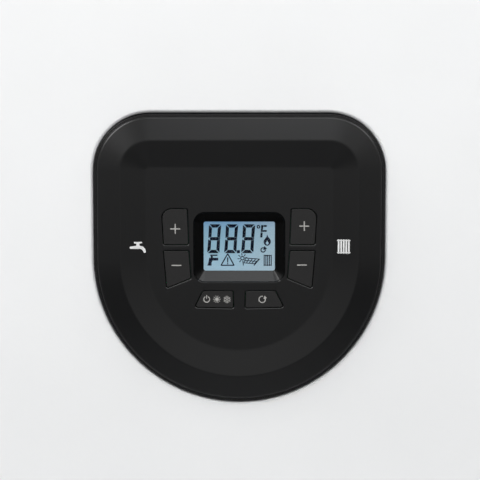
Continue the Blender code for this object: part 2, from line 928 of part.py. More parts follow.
def display_funnel(panel, parent, look):
    """Draw the panel in to a funnel with a window at its foot."""

    def section(depth_in, wall):
        share = depth_in / (funnel_depth - funnel_wall)
        width = funnel_width + (window_width - funnel_width) * share
        tall = funnel_tall + (window_tall - funnel_tall) * share
        corner = funnel_corner + (window_corner - funnel_corner) * share
        middle = display_z + (window_z - display_z) * share
        outline = rounded_rect(width + 2 * wall, tall + 2 * wall, corner + wall, (0, middle), steps=4)
        return ring(outline, plateau_front() - depth_in)

    slope_foot = funnel_depth - funnel_wall
    foot = section(slope_foot, 0)
    lip = section(slope_foot, funnel_wall)
    wall = [section(moulding / 2, funnel_wall), lip,
            [(x, y, plateau_front() - funnel_depth) for x, y, _ in lip]]
    hole = [section(-overrun, 0), foot,
            [(x, y, plateau_front() - funnel_depth - overrun) for x, y, _ in foot]]
    fuse(panel, loft("funnel_wall", wall, look["black"], parent))
    cut(panel, loft("funnel_hole", hole, look["black"], parent))


def stem_end():
    """The depth of a key's stem end at rest."""
    return case_depth - skirt + stem_entry + gap


def board_front():
    """The depth of the circuit board's front face."""
    return stem_end() + stem_entry - switch_height


def panel_key(name, corners, radii, parent, look):
    """A key: its cap in the slot, a flange behind the panel and a stem into its switch."""
    back = plateau_front() - moulding - gap
    face = plateau_front() + key_proud
    cap = key_outline(corners, radii, 0)
    edge = key_outline(corners, radii, -key_edge)
    wide = key_outline(corners, radii, key_flange)
    stem = shrunk(cap, stem_share)
    rings = [ring(stem, stem_end()), ring(stem, back - key_flange_thickness),
             ring(wide, back - key_flange_thickness), ring(wide, back), ring(cap, back),
             ring(cap, face - key_edge), ring(edge, face)]
    return loft(name, rings, look["key"], parent)


def lcd_window(parent, look):
    """The clear plate at the funnel's foot."""
    outline = rounded_rect(window_width + 2 * window_margin, window_tall + 2 * window_margin,
                           window_corner, (0, window_z), steps=2)
    top = plateau_front() - funnel_depth - gap
    return prism("lcd_window", outline, top - window_plate, top, look["clear"], parent)


def lcd_module(parent, look):
    """The display: its backlit block stands on the circuit board."""
    top = plateau_front() - funnel_depth - window_plate - 2 * gap
    block = rounded_rect(window_width + 2 * window_margin, window_tall + 2 * window_margin,
                         window_corner, (0, window_z), steps=2)
    face = rounded_rect(window_width + window_margin, window_tall + window_margin, window_corner,
                        (0, window_z), steps=2)
    rings = [ring(block, board_front() + gap), ring(block, top - sheet), ring(face, top - sheet),
             ring(face, top)]
    return loft("lcd_module", rings, look["display"], parent)


def circuit_board(parent, look):
    """The board with a switch behind each key, and its relays, capacitor and connectors."""
    front = board_front()
    board = prism("circuit_board", rect(board_width, board_height, (0, board_centre_z)),
                  front - board_thickness, front, look["board"], parent)
    for name, (corners, radii) in key_table().items():
        stem = shrunk(key_outline(corners, radii, 0), stem_share)
        middle = sum((Vector(point) for point in stem), Vector((0, 0))) / len(stem)
        switch = rect(switch_size, switch_size, tuple(middle))
        fuse(board, prism(f"{name}_switch", switch, front - board_thickness / 2, front + switch_height,
                          look["board"], parent))
        well = grown_outline(stem, bore_clearance)
        depth_low = stem_end() - key_travel - bore_clearance
        cut(board, prism(f"{name}_well", well, depth_low, front + switch_height + overrun, look["board"],
                         parent))
    return board


def grown_outline(outline, distance):
    """A small closed outline pushed away from its middle by a distance."""
    middle = sum((Vector(point) for point in outline), Vector((0, 0))) / len(outline)
    pushed = []
    for point in outline:
        arm = Vector(point) - middle
        pushed.append(tuple(Vector(point) + arm.normalized() * distance))
    return pushed


def control_box(parent, look):
    """The swing-down box: hollow, open where the panel stands, on two hinge feet."""
    front = case_depth - skirt - gap
    back = box_back
    centre = (0, box_foot + box_height / 2)
    body = prism("control_box", rounded_rect(box_width, box_height, box_corner, centre, 2), back, front,
                 look["grey_plastic"], parent)
    inside = rounded_rect(box_width - 2 * box_wall, box_height - 2 * box_wall, box_corner - box_wall, centre,
                          1)
    cut(body, prism("box_hollow", inside, back + box_wall, front - box_wall, look["grey_plastic"], parent))
    cut(body, prism("box_mouth", shield(box_opening_inset), front - box_wall - overrun, front + overrun,
                    look["grey_plastic"], parent))
    for side in (-1, 1):
        for level in (-1, 1):
            post_place = (side * post_pitch_x / 2, 0, board_centre_z + level * post_pitch_z / 2)
            stud(body, post_radius, back + box_wall / 2, board_front() - board_thickness - gap, post_place,
                 FRONT, parent, steps=8)
        foot = rect(foot_width, foot_depth, (side * foot_pitch / 2, -back - foot_set_back))
        fuse(body, prism(f"hinge_foot_{side}", foot, sheet + gap, box_foot + box_wall / 2,
                         look["grey_plastic"], parent, axes=UP))
    return body


# Flue and heat exchanger

def flue_collar(parent, look):
    """The flanged collar on top that the outer, air-side flue pipe sits in."""
    inside = collar_radius - collar_wall
    base = case_height + gap
    profile = [(inside, base), (collar_flange, base), (collar_flange, base + collar_flange_height),
               (collar_radius, base + collar_flange_height), (collar_radius, base + collar_rise),
               (inside, base + collar_rise)]
    return turned("flue_collar", profile, look["white"], parent, (0, flue_depth, 0), bore=True, steps=20)


def flue_pipe(parent, look):
    """The inner flue pipe, belled over the exchanger's spigot."""
    seat = exchanger_z + shell_radius + spigot_rise - bell_length + gap
    steps = 16
    bell = around(flue_inner + gap, steps)
    top = case_height + flue_rise
    profile = [(bell, seat), (bell + bell_wall, seat), (bell + bell_wall, seat + bell_length + bell_wall),
               (flue_inner, seat + bell_length + 2 * bell_wall), (flue_inner, top),
               (flue_inner - flue_wall, top), (flue_inner - flue_wall, seat + bell_length + bell_wall),
               (bell, seat + bell_length)]
    return turned("flue_pipe", profile, look["aluminium"], parent, (0, flue_depth, 0), bore=True, steps=steps)


def exchanger_shell(parent, look):
    """The ribbed drum round the coil, with its flue spigot, drain and two coil bosses."""
    place = (0, 0, exchanger_z)
    length = shell_front - shell_back
    outside = [(shell_radius, shell_back)]
    for share in shell_rib_shares:
        middle = shell_back + length * share
        outside += [(shell_radius, middle - shell_rib_width), (shell_radius + shell_rib, middle),
                    (shell_radius, middle + shell_rib_width)]
    outside.append((shell_radius, shell_front))
    drum = turned("exchanger_shell", outside, look["dark_plastic"], parent, place, FRONT, steps=24)
    inside = shell_radius - shell_wall
    root = inside * 3 / 4
    stud(drum, flue_inner, root, shell_radius + spigot_rise, (0, flue_depth, exchanger_z), UP, parent)
    stud(drum, drain_radius, root, shell_radius + drain_drop, (0, drain_depth, exchanger_z), DOWN,
         parent, steps=12)
    coil_last_depth = coil_first_depth + coil_pitch * coil_turns
    for side, depth in ((1, coil_first_depth), (-1, coil_last_depth)):
        leg = (side * coil_radius, depth, exchanger_z)
        stud(drum, coil_boss, coil_leg_drop / 2 - overrun, coil_leg_drop / 2 + coil_boss_drop, leg, DOWN,
             parent, steps=12)
    for x in (-1, 1):
        for z in (-1, 1):
            foot = (x * shell_foot_pitch / 2, 0, exchanger_z + z * shell_foot_pitch / 2)
            stud(drum, shell_foot_radius, frame_front, shell_back + shell_wall / 2, foot,
                 FRONT, parent, steps=8)
    drill(drum, flue_inner - flue_wall, shell_radius / 2, shell_radius + spigot_rise + overrun,
          (0, flue_depth, exchanger_z), UP, parent)
    drill(drum, drain_bore, shell_radius / 2, shell_radius + drain_drop + overrun,
          (0, drain_depth, exchanger_z), DOWN, parent, steps=12)
    hollow = [(inside, shell_back + shell_wall), (inside, shell_front + overrun)]
    cut(drum, turned("drum_hollow", hollow, look["dark_plastic"], parent, place, FRONT, steps=24))
    for side, depth in ((1, coil_first_depth), (-1, coil_last_depth)):
        leg = (side * coil_radius, depth, exchanger_z)
        drill(drum, coil_tube + bore_clearance, overrun, coil_leg_drop, leg, DOWN, parent, steps=12)
    return drum


def coil_route():
    """The coil's line: down-leg, turns and down-leg, as (x, depth, z) points."""
    steps_per_turn = 10
    count = int(steps_per_turn * coil_turns)
    route = [Vector((coil_radius, coil_first_depth, exchanger_z - coil_leg_drop)),
             Vector((coil_radius, coil_first_depth, exchanger_z - coil_tube))]
    for step in range(count + 1):
        turn = 2 * pi * step / steps_per_turn
        route.append(Vector((coil_radius * cos(turn), coil_first_depth + coil_pitch * turn / (2 * pi),
                             exchanger_z + coil_radius * sin(turn))))
    last = route[-1]
    route.append(Vector((last.x, last.y, exchanger_z - coil_tube)))
    route.append(Vector((last.x, last.y, exchanger_z - coil_leg_drop)))
    return route


def least_coil_gap(route):
    """The least clear distance between stretches of the coil that aren't neighbours."""
    apart = 6
    least = min((first - second).length for index, first in enumerate(route)
                for second in route[index + apart:])
    return least - 2 * coil_tube


def exchanger_coil(parent, look):
    """The stainless coil round the burner, with both ends led down out of the drum."""
    route = coil_route()
    print(f"least gap in the coil: {least_coil_gap(route):.4f} m")
    return tube("exchanger_coil", route, coil_tube, look["steel"], parent, sides=6)


def burner_door(parent, look):
    """The cast door with its insulating plug, clamp bolts and mixture duct."""
    place = (0, 0, exchanger_z)
    back = shell_front + gap
    front = back + door_thickness
    profile = [(door_plug, back - door_plug_depth), (door_plug, back), (door_radius, back),
               (door_radius, front - door_thickness / 3), (door_radius - door_thickness / 3, front)]
    door = turned("burner_door", profile, look["cast"], parent, place, FRONT, steps=24)
    for index in range(door_bolts):
        turn = 2 * pi * (index + 1 / 2) / door_bolts
        bolt = (door_bolt_pitch_radius * cos(turn), 0, exchanger_z + door_bolt_pitch_radius * sin(turn))
        stud(door, door_bolt_radius, front - door_thickness / 2, front + door_bolt_height, bolt, FRONT,
             parent, steps=6)
    width = duct_right + duct_left
    middle = (duct_right - duct_left) / 2
    duct = rounded_rect(width, duct_height, duct_wall, (middle, exchanger_z))
    fuse(door, prism("mixture_duct", duct, front - door_thickness / 2, duct_front, look["cast"], parent))
    floor = front + duct_wall
    channel = rounded_rect(width, duct_height - 2 * duct_wall, duct_wall / 2, (middle + duct_wall,
                           exchanger_z))
    cut(door, prism("mixture_channel", channel, floor, duct_front - duct_wall, look["cast"], parent))
    drill(door, burner_radius - 2 * burner_wall - duct_wall, back - door_plug_depth - overrun,
          floor + overrun, place, FRONT, parent)
    spark = electrode_place()
    drill(door, electrode_radius + gap, back - door_plug_depth - overrun, duct_front + overrun, spark, FRONT,
          parent, steps=12)
    return door


def electrode_place():
    """Where the ignition electrode goes through the door."""
    return (electrode_circle * cos(electrode_turn), 0, exchanger_z + electrode_circle * sin(electrode_turn))


def burner_tube(parent, look):
    """The round burner that the door holds inside the coil."""
    seat = shell_front + gap - door_plug_depth - gap
    inside = burner_radius - burner_wall
    end = seat - burner_length
    rings = [(inside, end + burner_wall), (inside, seat), (burner_radius, seat), (burner_radius, end)]
    return turned("burner_tube", rings, look["steel"], parent, (0, 0, exchanger_z), FRONT, steps=24)


def ignition_electrode(parent, look):
    """The spark electrode: a ceramic body through the door and a bare rod beside the burner."""
    door_front = shell_front + gap + door_thickness
    body_back = door_front - electrode_length
    profile = [(electrode_rod, body_back - electrode_tip), (electrode_rod, body_back),
               (electrode_radius, body_back), (electrode_radius, door_front + gap),
               (electrode_collar, door_front + gap),
               (electrode_collar, door_front + door_bolt_height),
               (electrode_rod, door_front + door_bolt_height),
               (electrode_rod, door_front + 2 * door_bolt_height)]
    return turned("ignition_electrode", profile, look["ceramic"], parent, electrode_place(), FRONT, steps=12)


# Fan, gas and air

def volute(inset, reach):
    """The fan casing's spiral, drawn in by an inset, with its mouth to the left."""
    steps = 20
    top = volute_end - inset
    mouth_foot = volute_end - volute_mouth + inset
    start_radius = volute_start - inset
    first = pi - atan2(mouth_foot, (start_radius ** 2 - mouth_foot ** 2) ** 0.5)
    last = 2 * pi + pi / 2
    points = [(-reach, top), (-reach, mouth_foot)]
    for step in range(steps + 1):
        share = step / steps
        turn = first + (last - first) * share
        radius = start_radius + (volute_end - volute_start) * share
        points.append((radius * cos(turn), radius * sin(turn)))
    return points


def fan_housing(parent, look):
    """The spiral fan casing, hollow, open at its mouth, its inlet and its shaft hole."""
    place = (fan_x, 0, fan_z)
    casing = prism("fan_housing", volute(0, volute_reach), volute_back, volute_front, look["cast"], parent,
                   place)
    cut(casing, prism("volute_hollow", volute(volute_wall, volute_reach + overrun),
                      volute_back + volute_wall, volute_front - volute_wall, look["cast"], parent, place))
    drill(casing, fan_inlet, volute_back - overrun, volute_back + volute_wall + overrun, place, FRONT, parent)
    drill(casing, shaft_radius + shaft_clearance, volute_front - volute_wall - overrun,
          volute_front + overrun, place, FRONT, parent, steps=16)
    return casing


def blades(count, inner, outer, thickness, sweep, low, high, material, parent, place, name):
    """Curved vanes round an axis, leaning back from the hub to the rim, as one object."""
    steps = 2
    mesh = bmesh.new()
    for index in range(count):
        start = 2 * pi * index / count
        front_edge, back_edge = [], []
        for step in range(steps + 1):
            share = step / steps
            radius = inner + (outer - inner) * share
            turn = start - sweep * share
            half = thickness / 2 / radius
            front_edge.append((radius * cos(turn + half), radius * sin(turn + half)))
            back_edge.append((radius * cos(turn - half), radius * sin(turn - half)))
        outline = back_edge + front_edge[::-1]
        lower = [mesh.verts.new((x, y, low)) for x, y in outline]
        upper = [mesh.verts.new((x, y, high)) for x, y in outline]
        mesh.faces.new(lower)
        mesh.faces.new(upper)
        for corner in range(len(outline)):
            after = (corner + 1) % len(outline)
            mesh.faces.new((lower[corner], lower[after], upper[after], upper[corner]))
    bmesh.ops.recalc_face_normals(mesh, faces=mesh.faces)
    return finish(name, mesh, material, parent, place, FRONT, 0)


def fan_impeller(parent, look):
    """The backward-curved fan wheel: plate, hub, blades, shroud ring and its shaft."""
    place = (0, 0, 0)
    back = impeller_back
    front = back + impeller_depth
    hub_back = back + impeller_plate
    shaft_end = volute_front + motor_shaft_hole - 2 * gap
    profile = [(impeller_hub / 2, hub_back), (impeller_hub, hub_back + impeller_hub / 2),
               (impeller_hub, front - impeller_plate), (impeller_radius, front - impeller_plate),
               (impeller_radius, front), (shaft_radius, front), (shaft_radius, shaft_end)]
    wheel = turned("fan_impeller", profile, look["pale_plastic"], parent, place, FRONT, steps=18)
    shroud = [(impeller_eye, back), (impeller_radius, back + impeller_plate),
              (impeller_radius, back + 2 * impeller_plate), (impeller_eye, back + impeller_plate)]
    fuse(wheel, blades(blade_count, blade_root, impeller_radius - gap, blade_thickness, blade_sweep,
                       back + 3 * impeller_plate / 2, front - impeller_plate / 2, look["pale_plastic"],
                       parent, place, "fan_blades"))
    fuse(wheel, turned("fan_shroud", shroud, look["pale_plastic"], parent, place, FRONT, bore=True,
                       steps=18))
    return wheel


def fan_motor(parent, look):
    """The motor on the fan's front, with a socket block on its rim."""
    place = (fan_x, 0, fan_z)
    base = volute_front + gap
    top = base + motor_length
    profile = [(motor_radius, base), (motor_radius, base + motor_length * motor_shoulder_share),
               (motor_radius - motor_length / 4, top), (motor_radius / 3, top)]
    body = turned("fan_motor", profile, look["dark_plastic"], parent, place, FRONT, steps=16)
    drill(body, shaft_radius + shaft_clearance, base - overrun, base + motor_shaft_hole, place, FRONT,
          parent, steps=16)
    socket = rect(motor_radius / 2, motor_radius / 3, (fan_x, fan_z - motor_radius))
    return fuse(body, prism("motor_socket", socket, base, base + motor_length / 2, look["dark_plastic"],
                            parent))


def mixer(parent, look):
    """The venturi on the fan's inlet, with the gas port underneath."""
    place = (fan_x, 0, fan_z)
    front = volute_back - gap
    throat = gas_port_depth
    wall = mixer_wall
    outside = [(mixer_tail + wall, mixer_back), (mixer_tail + wall, mixer_back + wall),
               (mixer_throat, throat - mixer_run),
               (mixer_throat, front - 2 * mixer_flange_thickness),
               (mixer_flange, front - mixer_flange_thickness), (mixer_flange, front)]
    inside = [(mixer_tail, mixer_back - overrun), (mixer_tail, mixer_back), (mixer_throat - wall, throat),
              (mixer_throat - wall, front - 2 * mixer_flange_thickness), (fan_inlet, front),
              (fan_inlet, front + overrun)]
    body = turned("mixer", outside, look["cast"], parent, place, FRONT, steps=16)
    stud(body, gas_port_radius, 0, gas_port_drop, (fan_x, throat, fan_z), DOWN, parent, steps=12)
    cut(body, turned("mixer_bore", inside, look["cast"], parent, place, FRONT, steps=16))
    return drill(body, gas_port_radius / 2, 0, gas_port_drop + overrun, (fan_x, throat, fan_z), DOWN,
                 parent, steps=10)


def air_intake(parent, look):
    """The intake pipe that draws air from the top of the casing."""
    start = mixer_back - gap
    route = bent([(fan_x, start, fan_z), (fan_x, intake_depth, fan_z), (fan_x, intake_depth, intake_top)],
                 intake_bend, steps=4)
    return tube("air_intake", route, intake_radius, look["dark_plastic"], parent,
                bore=intake_radius - intake_wall, sides=10)


def gas_valve(parent, look):
    """The gas valve block with its two solenoids, outlet and inlet union."""
    top = fan_z - gas_port_drop - gap
    centre = (fan_x, gas_port_depth)
    block = rounded_rect(valve_width, valve_depth, valve_corner, (centre[0], -centre[1]), steps=2)
    neck = valve_union_height
    body = prism("gas_valve", block, top - neck - valve_height, top - neck, look["cast"], parent, axes=UP)
    stud(body, gas_port_radius, -neck - overrun, 0, (fan_x, gas_port_depth, top), UP, parent, steps=16)
    foot = top - neck - valve_height
    stud(body, valve_union, -valve_union_height, overrun, (fan_x, gas_port_depth, foot), UP, parent, steps=6)
    for side in (-1, 1):
        coil = (fan_x, 0, foot + valve_height / 2 + side * solenoid_pitch / 2)
        face = gas_port_depth + valve_depth / 2
        stud(body, solenoid_radius, face - overrun, face + solenoid_height, coil, FRONT, parent, steps=20)
    return body


def valve_foot():
    """The height of the gas valve's lower end."""
    return fan_z - gas_port_drop - gap - 2 * valve_union_height - valve_height


def gas_pipe(parent, look):
    """The steel gas pipe from the valve down to its tail."""
    level = valve_foot() - gas_pipe_drop
    route = bent([(fan_x, gas_port_depth, valve_foot() - gap), (fan_x, gas_port_depth, level),
                  (0, gas_port_depth, level), (0, tail_depth, level), (0, tail_depth, manifold_foot + gap)],
                 gas_pipe_bend)
    return tube("gas_pipe", route, gas_pipe_radius, look["steel"], parent)


# Water side

def tail_table():
    """Each connection's name, place and thread radius, left to right."""
    names = (("heating_flow_tail", -2, tail_large), ("hot_water_tail", -1, tail_small),
             ("gas_tail", 0, tail_large), ("cold_water_tail", 1, tail_small),
             ("heating_return_tail", 2, tail_large))
    return {name: (place * tail_spacing, radius) for name, place, radius in names}


def pipe_tail(name, x, radius, parent, look):
    """A threaded connection under the casing, with its hexagon and bore."""
    collar = tail_collar
    top = manifold_foot - gap
    profile = [(radius - sheet, -tail_drop), (radius, -tail_drop + sheet), (radius, -collar),
               (radius - collar / 2, -collar), (radius - collar / 2, top)]
    tail = turned(name, profile, look["brass"], parent, (x, tail_depth, 0), steps=12)
    stud(tail, radius + collar, sheet + gap + collar, sheet + gap + 3 * collar, (x, tail_depth, 0), UP,
         parent, steps=6)
    return drill(tail, radius - collar, -tail_drop - overrun, -tail_drop + 5 * collar, (x, tail_depth, 0),
                 UP, parent, steps=12)


def manifold(name, side, parent, look):
    """A moulded water block over two of the tails, with bosses where pipes come in."""
    middle = side * (manifold_inner + manifold_outer) / 2
    width = manifold_outer - manifold_inner
    top = manifold_foot + manifold_height
    outline = rounded_rect(width, manifold_depth, manifold_boss / 2, (middle, -tail_depth), 2)
    waist = rounded_rect(width - manifold_boss, manifold_depth - manifold_boss, manifold_boss / 4,
                         (middle, -tail_depth), 2)
    low = manifold_foot + manifold_height / 4
    high = top - manifold_height / 4
    rings = [ring(outline, manifold_foot), ring(outline, low), ring(waist, low + manifold_boss / 4),
             ring(waist, high - manifold_boss / 4), ring(outline, high), ring(outline, top)]
    return loft(name, rings, look["dark_plastic"], parent, axes=UP)


def pump_housing(parent, look):
    """The pump's round casing with a port down to the manifold and one up."""
    place = (pump_x, 0, pump_z)
    step = pump_wall
    profile = [(pump_radius - step, pump_back), (pump_radius, pump_back + step), (pump_radius, pump_front)]
    casing = turned("pump_housing", profile, look["dark_plastic"], parent, place, FRONT, steps=16)
    middle = (pump_x, tail_depth, pump_z)
    stud(casing, pump_port, pump_radius / 2, pump_radius + pump_port_rise, middle, UP, parent, steps=18)
    drop = pump_z - (manifold_foot + manifold_height + gap)
    stud(casing, pump_port, pump_radius / 2, drop, middle, DOWN, parent, steps=18)
    cut(casing, turned("pump_chamber", [(pump_radius - step, pump_back + 2 * step),
                                        (pump_radius - step, pump_front + overrun)],
                       look["dark_plastic"], parent, place, FRONT, steps=16))
    return casing


def pump_impeller(parent, look):
    """The pump wheel and its shaft."""
    place = (0, 0, 0)
    back = pump_back + 2 * pump_wall + 2 * bore_clearance
    plate = back + pump_blade_height
    shaft_end = pump_front + pump_shaft_length
    profile = [(pump_rotor_hub, back), (pump_rotor_hub, plate), (pump_rotor_radius, plate),
               (pump_rotor_radius, back + pump_rotor_depth), (shaft_radius, back + pump_rotor_depth),
               (shaft_radius, shaft_end)]
    wheel = turned("pump_impeller", profile, look["pale_plastic"], parent, place, FRONT, steps=18)
    return fuse(wheel, blades(pump_blades, pump_rotor_hub / 2, pump_rotor_radius - gap,
                              pump_blade_thickness, blade_sweep, back, plate + impeller_plate,
                              look["pale_plastic"], parent, place, "pump_vanes"))


def pump_motor(parent, look):
    """The pump's motor can, closing the casing, with cooling grooves and a terminal box."""
    place = (pump_x, 0, pump_z)
    base = pump_front + gap
    top = base + pump_motor_length
    groove = pump_groove_depth
    profile = [(pump_radius, base), (pump_radius, base + pump_wall), (pump_motor_radius, base + pump_wall)]
    for share in pump_groove_shares:
        at = base + pump_motor_length * share
        profile += [(pump_motor_radius, at), (pump_motor_radius - groove, at),
                    (pump_motor_radius - groove, at + groove), (pump_motor_radius, at + groove)]
    profile += [(pump_motor_radius, top - pump_wall), (pump_motor_radius - pump_wall, top)]
    can = turned("pump_motor", profile, look["motor"], parent, place, FRONT, steps=16)
    bore_end = pump_front + pump_shaft_length + bore_clearance
    drill(can, shaft_radius + shaft_clearance, base - overrun, bore_end, place, FRONT, parent, steps=16)
    terminal = rounded_rect(pump_radius, pump_motor_radius / 2, terminal_corner,
                            (pump_x, pump_z + pump_motor_radius), steps=2)
    return fuse(can, prism("terminal_box", terminal, base + pump_motor_length / 3, top - pump_wall,
                           look["motor"], parent))


def plate_exchanger(parent, look):
    """The brazed stack of plates across both manifolds."""
    back = tail_depth + manifold_depth / 2 + gap
    middle = (0, manifold_foot + manifold_height / 2)
    wide = rounded_rect(plate_width, plate_height, plate_height / 4, middle, steps=1)
    waist = rounded_rect(plate_width - 2 * plate_groove, plate_height - 2 * plate_groove,
                         plate_height / 4 - plate_groove, middle, steps=1)
    rings = []
    pitch = plate_pack / plate_count
    for index in range(plate_count):
        low = back + pitch * index
        edge, fold = (low + pitch * share for share in plate_fold_shares)
        rings += [ring(wide, low), ring(wide, edge), ring(waist, fold)]
    rings.append(ring(wide, back + plate_pack))
    return loft("plate_exchanger", rings, look["steel"], parent)


def expansion_vessel(parent, look):
    """The flat round vessel on the left, with a crimped seam, a nipple and a foot on the frame."""
    half = vessel_thickness / 2
    right = [(vessel_radius + vessel_seam, vessel_seam), (vessel_radius, 2 * vessel_seam),
             (vessel_radius * vessel_shoulder_share, half * vessel_bulge_share),
             (vessel_radius * vessel_face_share, half)]
    profile = [(radius, -height) for radius, height in reversed(right)] + right
    place = (-vessel_x, vessel_depth, vessel_z)
    drum = turned("expansion_vessel", profile, look["red"], parent, place, SIDE, steps=20)
    stud(drum, vessel_nipple, vessel_radius - overrun, vessel_radius + vessel_nipple_drop, place, DOWN,
         parent, steps=12)
    foot = rect(vessel_foot_width, vessel_foot_height, (-vessel_x, vessel_z))
    reach = vessel_depth - vessel_radius + vessel_nipple_drop
    return fuse(drum, prism("vessel_foot", foot, frame_front, reach, look["red"], parent))


def pipes(parent, look):
    """The bent copper pipes between the exchanger, the pump, the manifolds and the vessel."""
    manifold_top = manifold_foot + manifold_height + gap
    leg_foot = exchanger_z - coil_leg_drop - gap
    coil_last_depth = coil_first_depth + coil_pitch * coil_turns
    level = leg_foot - 2 * water_pipe_bend
    flow_x = manifold_outer - 2 * manifold_boss - water_pipe_radius
    flow = bent([(-coil_radius, coil_last_depth, leg_foot), (-coil_radius, coil_last_depth, level),
                 (-flow_x, tail_depth, level - 3 * water_pipe_bend), (-flow_x, tail_depth, manifold_top)],
                water_pipe_bend)
    tube("flow_pipe", flow, water_pipe_radius, look["copper"], parent)
    back = bent([(coil_radius, coil_first_depth, leg_foot), (coil_radius, coil_first_depth, level),
                 (pump_x, tail_depth, level - water_pipe_bend), (pump_x, tail_depth, pump_top + gap)],
                water_pipe_bend)
    tube("return_pipe", back, water_pipe_radius, look["copper"], parent)
    nipple_foot = vessel_z - vessel_radius - vessel_nipple_drop - gap
    vessel_end = manifold_outer - manifold_boss
    line_depth = tail_depth + manifold_depth / 4
    line = bent([(-vessel_x, vessel_depth, nipple_foot),
                 (-vessel_x, vessel_depth, nipple_foot - 4 * vessel_pipe_bend),
                 (-vessel_end, line_depth, nipple_foot - 6 * vessel_pipe_bend),
                 (-vessel_end, line_depth, manifold_top)], vessel_pipe_bend)
    tube("vessel_pipe", line, vessel_pipe_radius, look["copper"], parent)


def air_vent(parent, look):
    """The automatic air vent on the return manifold."""
    base = manifold_foot + manifold_height + gap
    neck = vent_radius / 2
    profile = [(neck, base), (neck, base + vent_radius), (vent_radius, base + vent_radius + neck),
               (vent_radius, base + vent_height - vent_radius), (neck, base + vent_height - neck),
               (neck, base + vent_height)]
    return turned("air_vent", profile, look["brass"], parent, (vent_x, tail_depth, 0), steps=12)


def diverter_actuator(parent, look):
    """The motor head of the three-way valve on the flow manifold."""
    base = manifold_foot + manifold_height + gap
    outline = rounded_rect(actuator_width, actuator_width, actuator_width / 4, (-actuator_x, -tail_depth))
    small = rounded_rect(actuator_neck, actuator_neck, actuator_neck / 4, (-actuator_x, -tail_depth))
    neck = actuator_height / 5
    rings = [ring(small, base), ring(small, base + neck), ring(outline, base + neck),
             ring(outline, base + actuator_height - neck / 2), ring(small, base + actuator_height)]
    return loft("diverter_actuator", rings, look["grey_plastic"], parent, axes=UP)


def safety_valve(parent, look):
    """The relief valve on the manifold's front, with its outlet down through the casing."""
    back = tail_depth + manifold_depth / 2 + gap
    middle_z = manifold_foot + manifold_height / 2
    front = back + relief_length
    place = (relief_x, 0, middle_z)
    profile = [(relief_neck, back), (relief_neck, back + relief_length / 4),
               (relief_radius, back + relief_length / 3), (relief_radius, front)]
    body = turned("safety_valve", profile, look["brass"], parent, place, FRONT, steps=14)
    outlet = (relief_x, back + relief_length / 2, middle_z)
    stud(body, relief_outlet, relief_radius / 2, middle_z + relief_outlet_drop, outlet, DOWN, parent,
         steps=12)
    foot = middle_z + relief_outlet_drop
    drill(body, relief_outlet - 2 * sheet, middle_z - relief_outlet_drop, foot + overrun, outlet, DOWN,
          parent, steps=12)
    return drill(body, pin_radius + bore_clearance, front - pin_length, front + overrun, place, FRONT,
                 parent, steps=12)


def knob(name, radius, length, pin, material, parent, axes):
    """A fluted knob with a pin that turns in its valve, on its own axis."""
    flutes = 7
    steps = 2 * flutes
    outline = []
    for index in range(steps):
        turn = 2 * pi * index / steps
        size = radius if index % 2 else radius * flute_share
        outline.append((size * cos(turn), size * sin(turn)))
    neck = circle(radius * knob_neck_share, steps)
    rings = [ring(circle(pin_radius, steps), -pin), ring(circle(pin_radius, steps), gap), ring(neck, gap),
             ring(neck, length / 5), ring(outline, length / 4), ring(outline, length * 9 / 10),
             ring(shrunk(outline, knob_crown_share), length)]
    return loft(name, rings, material, parent, axes=axes)


def filling_valve(parent, look):
    """The filling loop's valve between the cold tail and the heating return."""
    top = manifold_foot - gap
    low, high = manifold_foot / 3, manifold_foot * 2 / 3
    cone = filling_radius / 2
    profile = [(filling_radius, -filling_drop), (filling_radius, low), (filling_body, low + cone),
               (filling_body, high), (filling_radius, high + cone), (filling_radius, top)]
    body = turned("filling_valve", profile, look["brass"], parent, (filling_x, tail_depth, 0), steps=12)
    return drill(body, pin_radius + bore_clearance, -filling_drop - overrun, -filling_drop + pin_length,
                 (filling_x, tail_depth, 0), UP, parent, steps=12)


def condensate_trap(parent, look):
    """The trap under the exchanger's drain, with its outlet through the casing."""
    neck_top = exchanger_z - shell_radius - drain_drop - gap
    top = trap_foot + (neck_top - trap_foot) * trap_height_share
    foot = -trap_outlet_drop
    profile = [(trap_outlet, foot), (trap_outlet, trap_foot - trap_outlet), (trap_shoulder, trap_foot),
               (trap_radius, trap_foot + trap_outlet), (trap_radius, top - trap_outlet),
               (trap_shoulder, top), (trap_neck, top + trap_outlet), (trap_neck, neck_top)]
    body = turned("condensate_trap", profile, look["grey_plastic"], parent, (0, drain_depth, 0), steps=12)
    return drill(body, trap_outlet - sheet, foot - overrun, foot + trap_radius, (0, drain_depth, 0), UP,
                 parent, steps=10)


def pressure_gauge(parent, look):
    """The round gauge let into the underside, its dial facing down."""
    low = -gap - gauge_flange_height
    profile = [(gauge_flange - sheet, low), (gauge_flange, low + sheet), (gauge_flange, -gap),
               (gauge_radius, -gap), (gauge_radius, gauge_height - sheet),
               (gauge_radius - sheet, gauge_height)]
    place = (gauge_x, gauge_depth, 0)
    body = turned("pressure_gauge", profile, look["dark_plastic"], parent, place, steps=16)
    drill(body, gauge_radius - sheet, low - overrun, low + gauge_recess, place, UP, parent, steps=16)
    return drill(body, needle_pin + bore_clearance / 2, low, gauge_recess + pin_length, place, UP, parent,
                 steps=8)


def gauge_needle(parent, look):
    """The needle, on a pin in the gauge."""
    dial = -gap - gauge_flange_height + gauge_recess
    outline = [(needle_length, 0), (0, needle_width), (-needle_tail, needle_width / 2),
               (-needle_tail, -needle_width / 2), (0, -needle_width)]
    needle = prism("gauge_needle", outline, dial - gap - needle_thickness, dial - gap, look["red"], parent,
                   axes=UP)
    return stud(needle, needle_pin, dial - gap - needle_thickness / 2, dial + pin_length / 2, (0, 0, 0), UP,
                parent, steps=10)


